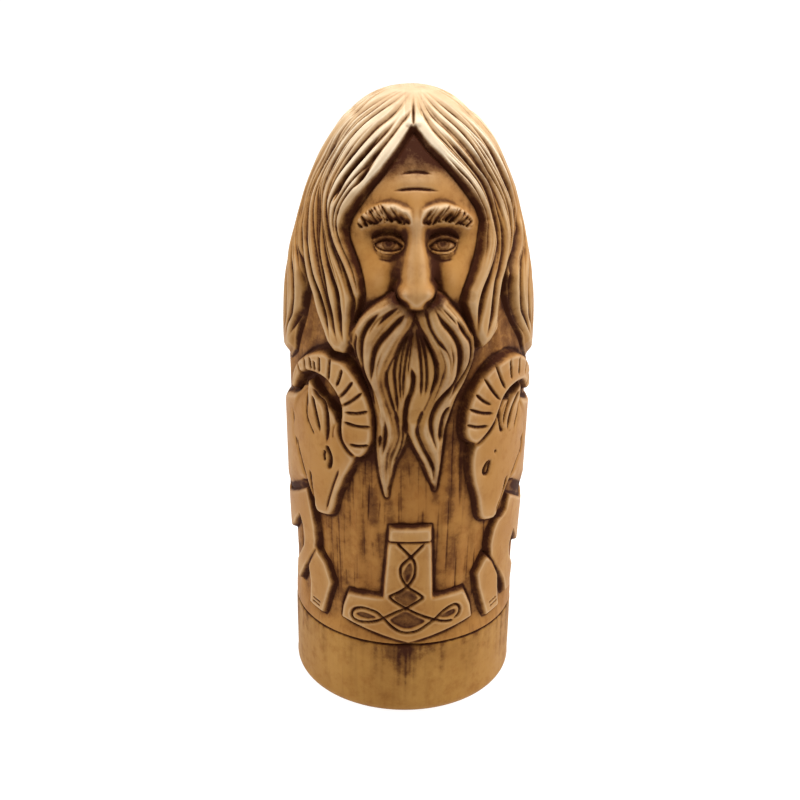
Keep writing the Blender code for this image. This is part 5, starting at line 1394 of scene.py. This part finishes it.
def build_piece(label, surface, wash, rub, quads, quad_label, fan, fan_label):
    """One closed mesh: the carved surface, walls down at its border and a hidden back."""
    name = NAMES[label]
    mine = quads[quad_label == label]
    my_fan = fan[fan_label == label]
    edges = boundary(mine, my_fan)
    is_foot = (edges >= (NR - 1) * NC).all(axis=1)
    inner_edges = edges[~is_foot]
    if name == "log":
        points, triangles, low_of = cap(inner_edges, lambda v: v != label, 0.0)
    else:
        points, triangles, low_of = cap(inner_edges, lambda v: v == label, CAP_GAP)
        triangles = [t[::-1] for t in triangles]
    used = np.unique(np.concatenate([mine.reshape(-1), my_fan.reshape(-1)]))
    remap = np.full(NR * NC, -1)
    remap[used] = np.arange(len(used))
    base = len(used)
    coords = [surface.reshape(-1, 3)[used], np.array(points).reshape(-1, 3)]
    faces = remap[mine].tolist() + remap[my_fan].tolist()
    sharp = []
    for a, b in inner_edges.tolist():
        if a in low_of and b in low_of:
            ia, ib = int(remap[a]), int(remap[b])
            faces.append([ib, ia, base + low_of[a], base + low_of[b]])
            sharp.append((ia, ib))
    faces += [[base + n for n in t] for t in triangles]
    if is_foot.any():
        coords.append(np.array([[0.0, 0.0, LOG_FOOT]]))
        for a, b in edges[is_foot].tolist():
            ia, ib = int(remap[a]), int(remap[b])
            faces.append([ib, ia, base + len(points)])
            sharp.append((ia, ib))
    coords = np.vstack(coords)
    full_wash = np.ones(len(coords))
    full_wash[:base] = wash.reshape(-1)[used]
    full_rub = np.zeros(len(coords))
    full_rub[:base] = rub.reshape(-1)[used]
    piece = new_piece(name + "_carved", coords, faces, wash=full_wash, rub=full_rub)
    mark_sharp(piece.data, sharp)
    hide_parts(name)
    dress(piece, name)


# Colours
DARK = (0.040, 0.0085, 0.0010)
# Rubbed colours, which also carry the painted highlight on ridges and crown
RUB_HIGHLIGHT_TONE = (0.55, 0.33, 0.12)
RUB_HIGHLIGHT_PALE = (0.74, 0.61, 0.44)
WARMTH = (0.86, 0.70, 0.52)
MIX_FACTOR, MIX_FIRST, MIX_SECOND = 0, 6, 7

# Noises, as scale, detail and roughness
CLOUD = (90.0, 4.0, 0.6)
BLOTCH = (320.0, 6.0, 0.7)
FIBRE = (900.0, 4.0, 0.6)
PORE = (2600.0, 3.0, 0.6)
ALONG_FIBRE = 0.07
BUMP_DISTANCE = 0.00012


def carved_wood(name, tan, pale, grain, streak, rough):
    """Stained, waxed carving: dark wash and painted shade in the cuts, pale where handling has
    rubbed it and where a painted highlight lies.
    """
    mat = bpy.data.materials.new(name)
    mat.use_nodes = True
    nodes = mat.node_tree.nodes
    links = mat.node_tree.links
    shader = nodes["Principled BSDF"]

    def node(kind, **values):
        made = nodes.new(kind)
        for key, value in values.items():
            setattr(made, key, value)
        return made

    def feed(socket, value):
        if hasattr(value, "links"):
            links.new(value, socket)
        elif isinstance(value, tuple):
            socket.default_value = (*value, 1.0)
        else:
            socket.default_value = value

    def mix(factor, first, second):
        made = node("ShaderNodeMix", data_type="RGBA", blend_type="MIX")
        for socket, value in ((MIX_FACTOR, factor), (MIX_FIRST, first), (MIX_SECOND, second)):
            feed(made.inputs[socket], value)
        return made.outputs[2]

    def maths(kind, first, second, clamp=False):
        made = node("ShaderNodeMath", operation=kind, use_clamp=clamp)
        feed(made.inputs[0], first)
        feed(made.inputs[1], second)
        return made.outputs[0]

    def scaled(value, gain):
        return maths("MULTIPLY", value, gain)

    def above(value, level, gain):
        return maths("MULTIPLY", maths("SUBTRACT", value, level, True), gain, True)

    def noise(scale, detail, roughness, stretch=(1.0, 1.0, 1.0)):
        place = node("ShaderNodeTexCoord")
        mapping = node("ShaderNodeMapping")
        mapping.inputs["Scale"].default_value = [s * scale for s in stretch]
        links.new(place.outputs["Object"], mapping.inputs["Vector"])
        made = node("ShaderNodeTexNoise")
        made.inputs["Scale"].default_value = 1.0
        made.inputs["Detail"].default_value = detail
        made.inputs["Roughness"].default_value = roughness
        links.new(mapping.outputs["Vector"], made.inputs["Vector"])
        return made.outputs["Fac"]

    wash = node("ShaderNodeAttribute", attribute_name="wash").outputs["Fac"]
    rub = node("ShaderNodeAttribute", attribute_name="rub").outputs["Fac"]
    cloud = noise(*CLOUD)
    blotch = noise(*BLOTCH)
    fibre = noise(*FIBRE, (1.0, 1.0, ALONG_FIBRE))
    pore = noise(*PORE)
    warm = tuple(c * k for c, k in zip(tan, WARMTH))
    colour = mix(above(cloud, 0.32, 1.6), tan, pale)
    colour = mix(above(blotch, 0.50, 2.2 * streak + 0.8), colour, warm)
    colour = mix(above(fibre, 0.52, 4.0 * grain), colour, tuple(c * 0.45 for c in warm))
    # Painted highlight over the rubbed places
    bright = mix(rub, RUB_HIGHLIGHT_TONE, RUB_HIGHLIGHT_PALE)
    colour = mix(scaled(scaled(rub, rub), 0.95), colour, bright)
    # Wash and painted shade, mottled
    spread = maths("ADD", scaled(maths("MINIMUM", wash, 0.6), 1.5), 0.65)
    edge = maths("ADD", wash, scaled(maths("SUBTRACT", blotch, 0.5), spread))
    soak_and_shade = maths("MULTIPLY", maths("POWER", maths("MAXIMUM", edge, 0.0), 1.1), 1.0, True)
    half = tuple(0.55 * a + 0.45 * b for a, b in zip(DARK, warm))
    colour = mix(scaled(maths("MINIMUM", scaled(soak_and_shade, 2.0), 1.0), 0.72), colour, half)
    colour = mix(above(soak_and_shade, 0.28, 1.5), colour, DARK)
    links.new(colour, shader.inputs["Base Color"])
    worn = maths("ADD", rough - 0.06, scaled(blotch, 0.16))
    worn = maths("ADD", worn, scaled(soak_and_shade, 0.25), True)
    links.new(worn, shader.inputs["Roughness"])
    shader.inputs["Specular IOR Level"].default_value = 0.12
    shader.inputs["Coat Weight"].default_value = 0.0
    bump = node("ShaderNodeBump")
    bump.inputs["Strength"].default_value = 0.35
    bump.inputs["Distance"].default_value = BUMP_DISTANCE
    relief = maths("ADD", scaled(pore, 0.5), scaled(fibre, 0.7 * grain + 0.15))
    relief = maths("ADD", relief, scaled(blotch, 0.8))
    links.new(relief, bump.inputs["Height"])
    links.new(bump.outputs["Normal"], shader.inputs["Normal"])
    return mat


# The four woods: tan, pale, grain, streaks and roughness
WOODS = {
    "hair_wood": ((0.295, 0.136, 0.032), (0.40, 0.213, 0.064), 0.10, 0.4, 0.46),
    "carved_wood": ((0.325, 0.144, 0.031), (0.42, 0.215, 0.060), 0.16, 0.45, 0.48),
    "ground_wood": ((0.30, 0.125, 0.024), (0.42, 0.200, 0.046), 0.5, 0.8, 0.52),
    "plinth_wood": ((0.30, 0.135, 0.024), (0.42, 0.215, 0.050), 0.22, 0.8, 0.52),
}
MATERIALS = {slot: carved_wood(slot, *look) for slot, look in WOODS.items()}
OWN_SLOTS = {"log": "ground_wood", "plinth": "plinth_wood"}


def dress(obj, name):
    """Give a piece the slot and the material of its node."""
    hair = name.startswith(("hair", "moustache", "beard"))
    slot = OWN_SLOTS.get(name, "hair_wood" if hair else "carved_wood")
    obj.data.materials.append(MATERIALS[slot])


# Plinth, with its drips as (middle, width, strength, length)
PLINTH_COLUMNS = 360
FOOT_ROUND = 2.4
TOP_ROUND = 0.9
FOOT_ARC_STEPS = 8
TOP_ARC_STEPS = 6
SIDE_STEPS = 26
BARE_FOOT = 3.0
LOOSE_DRIPS = 120
FRONT_DRIPS = [(-7, 1.1, 0.6, 5), (-4.6, 1.5, 0.9, 7.5), (-2, 2.4, 1, 3.6), (-1, 1, 0.8, 11),
               (1, 1.3, 0.9, 6.5), (3.4, 0.9, 0.6, 10), (6, 1.4, 0.55, 4)]


def plinth_profile():
    """Radius and height from the underside's middle round to the top's middle."""
    profile = [(0.0, 0.0), (PLINTH_RADIUS * 0.5, 0.0)]
    for i in range(FOOT_ARC_STEPS + 1):
        t = math.pi / 2.0 * i / FOOT_ARC_STEPS
        profile.append((PLINTH_RADIUS - FOOT_ROUND * (1.0 - math.sin(t)),
                        FOOT_ROUND * (1.0 - math.cos(t))))
    rises = np.linspace(FOOT_ROUND, PLINTH_HEIGHT - TOP_ROUND, SIDE_STEPS)[1:-1]
    profile += [(PLINTH_RADIUS, float(z)) for z in rises]
    for i in range(TOP_ARC_STEPS + 1):
        t = math.pi / 2.0 * i / TOP_ARC_STEPS
        profile.append((PLINTH_RADIUS - TOP_ROUND * (1.0 - math.cos(t)),
                        PLINTH_HEIGHT - TOP_ROUND * (1.0 - math.sin(t))))
    return profile + [(PLINTH_RADIUS * 0.8, PLINTH_HEIGHT), (0.0, PLINTH_HEIGHT)]


def plinth_wash(z, turn, drips):
    """Dark wash round the plinth at one height, along its edges and in drips, and painted shade
    below the front.
    """
    wash = 0.9 * float(ease((z - (PLINTH_HEIGHT - 0.5)) / 0.4))
    depth = PLINTH_HEIGHT - z
    high = math.exp(-(depth / 5.0) ** 2) if z > BARE_FOOT else 0.0
    front = np.exp(-((turn + 180.0) % 360.0 - 180.0 + 2.0) ** 2 / 160.0)
    # Painted shade across the plinth's front
    front_shade = front * (0.13 + 0.25 * high)
    low_dark = 0.25 * math.exp(-(z / 1.2) ** 2)
    streaks = np.zeros(len(turn))
    for middle, width, strength, length in drips:
        away = (turn - middle + 180.0) % 360.0 - 180.0
        reach = math.exp(-(depth / length) ** 2) if z > BARE_FOOT else 0.0
        streaks = np.maximum(streaks, strength * reach * bell(away, width))
    return np.clip(wash + front_shade + low_dark + streaks, 0.0, 1.0)


def make_plinth():
    """The round foot, faintly uneven, with soft edges."""
    profile = plinth_profile()
    count = PLINTH_COLUMNS
    angles = np.radians(np.arange(count))
    drips = [(rng.uniform(-180.0, 180.0), rng.uniform(0.6, 3.6), rng.uniform(0.12, 0.5),
              rng.uniform(2.0, 14.0)) for _ in range(LOOSE_DRIPS)] + FRONT_DRIPS
    coords = [(0.0, 0.0, 0.0)]
    wash = [0.0]
    for r, z in profile[1:-1]:
        level = 1.0 if BARE_FOOT < z < PLINTH_HEIGHT - 1.0 else 0.0
        wave = 0.035 * np.sin(9 * angles + z / 6.0) + 0.03 * np.sin(17 * angles - z / 4.0)
        rr = r - 0.05 * level + level * wave
        coords += list(zip(rr * np.sin(angles), -rr * np.cos(angles), np.full(count, z)))
        wash += list(plinth_wash(z, np.degrees(angles), drips))
    coords.append((0.0, 0.0, PLINTH_HEIGHT))
    wash.append(0.0)
    rings = len(profile) - 2
    top = len(coords) - 1
    faces = []
    for i in range(count):
        j = (i + 1) % count
        faces.append((0, 1 + j, 1 + i))
        faces.append((top, 1 + (rings - 1) * count + i, 1 + (rings - 1) * count + j))
        for low in range(1, 1 + (rings - 1) * count, count):
            faces.append((low + i, low + j, low + count + j, low + count + i))
    rub = np.zeros(len(coords))
    plinth = new_piece("plinth_turned", np.array(coords), faces, wash=wash, rub=rub)
    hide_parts("plinth")
    dress(plinth, "plinth")


# Camera, fitted to the photograph, with its sizes in mm, degrees and pixels
CAMERA_TURN = -2.8
CAMERA_DISTANCE = 266.0
CAMERA_HEIGHT = 176.3
CAMERA_PITCH = 20.7
CAMERA_ROLL = 1.0
SENSOR_WIDTH = 36.0
PIXELS = 800.0
FOCAL_PIXELS = 1240.0
CENTRE_X = 407.4
CENTRE_Y = 368.0

# Floor and lights, in metres and watts
FLOOR_HALF = 14.0
FLOOR_GREY = 0.25
FLOOR_GLOW = 0.93
SKY_STRENGTH = 0.5
WHITE = (1.0, 1.0, 1.0)
LIGHTS = [("key", (0.04, -0.04, 0.60), 0.10, 0.22, 3.2, (1.0, 0.98, 0.95)),
          ("side", (-0.50, 0.02, 0.26), 0.07, 0.35, 1.15, WHITE),
          ("side", (0.50, 0.02, 0.26), 0.07, 0.35, 1.85, WHITE),
          ("back", (0.0, 0.45, 0.50), 0.08, 0.40, 1.4, WHITE)]


def make_camera():
    """The photograph's view."""
    data = bpy.data.cameras.new("camera")
    camera = bpy.data.objects.new("camera", data)
    bpy.context.collection.objects.link(camera)
    turn = math.radians(CAMERA_TURN)
    camera.location = Vector((CAMERA_DISTANCE * math.sin(turn), -CAMERA_DISTANCE * math.cos(turn),
                              CAMERA_HEIGHT)) * MM
    look = Euler((math.radians(90.0 - CAMERA_PITCH), 0.0, turn)).to_matrix()
    roll = Euler((0.0, 0.0, math.radians(CAMERA_ROLL))).to_matrix()
    camera.rotation_euler = (look @ roll).to_euler()
    data.sensor_width = SENSOR_WIDTH
    data.lens = FOCAL_PIXELS / PIXELS * data.sensor_width
    data.shift_x = (PIXELS / 2.0 - CENTRE_X) / PIXELS
    data.shift_y = (CENTRE_Y - PIXELS / 2.0) / PIXELS
    data.clip_start = 0.01
    bpy.context.scene.camera = camera


def area_light(name, place, target_height, size, power, colour):
    """A soft light that aims at a height on the log's axis."""
    data = bpy.data.lights.new(name, "AREA")
    data.size = size
    data.energy = power
    data.color = colour
    light = bpy.data.objects.new(name, data)
    light.location = place
    aim = Vector((0.0, 0.0, target_height)) - Vector(place)
    light.rotation_euler = aim.to_track_quat("-Z", "Y").to_euler()
    bpy.context.collection.objects.link(light)


def make_stage():
    """A plain pale floor and soft light from above, both sides and behind."""
    mesh = bpy.data.meshes.new("floor")
    half = FLOOR_HALF
    mesh.from_pydata([(-half, -half, 0.0), (half, -half, 0.0), (half, half, 0.0),
                      (-half, half, 0.0)], [], [(0, 1, 2, 3)])
    floor = bpy.data.objects.new("floor", mesh)
    bpy.context.collection.objects.link(floor)
    mat = bpy.data.materials.new("floor_paint")
    mat.use_nodes = True
    shader = mat.node_tree.nodes["Principled BSDF"]
    shader.inputs["Base Color"].default_value = (FLOOR_GREY, FLOOR_GREY, FLOOR_GREY, 1.0)
    shader.inputs["Roughness"].default_value = 0.9
    shader.inputs["Emission Color"].default_value = (*WHITE, 1.0)
    shader.inputs["Emission Strength"].default_value = FLOOR_GLOW
    mesh.materials.append(mat)
    world = bpy.data.worlds.new("world")
    world.use_nodes = True
    background = world.node_tree.nodes["Background"]
    background.inputs["Color"].default_value = (*WHITE, 1.0)
    background.inputs["Strength"].default_value = SKY_STRENGTH
    bpy.context.scene.world = world
    for light in LIGHTS:
        area_light(*light)
    bpy.context.scene.view_settings.view_transform = "Standard"


make_camera()
make_stage()
cut_ground()
carve_back_hair()
carve_face()
FACE_SURFACE = DEPTH.copy()
FACE_STAIN_AND_SHADE = STAIN_AND_SHADE.copy()
for ram_side, ram_sign in SIDES.items():
    carve_ram(ram_side, ram_sign)
carve_hammer()
carve_front_hair()
carve_beard()
carve_nose_tip(FACE_SURFACE, FACE_STAIN_AND_SHADE)
fill_out_head()
soften_walls()
WASH_AND_SHADE, RUB_AND_HIGHLIGHT = wash_and_rub()
SURFACE = SKIN_POINTS - DEPTH[..., None] * NORMALS
GRID = grid_faces()
for piece_label in range(len(NAMES)):
    build_piece(piece_label, SURFACE, WASH_AND_SHADE, RUB_AND_HIGHLIGHT, *GRID)
make_plinth()
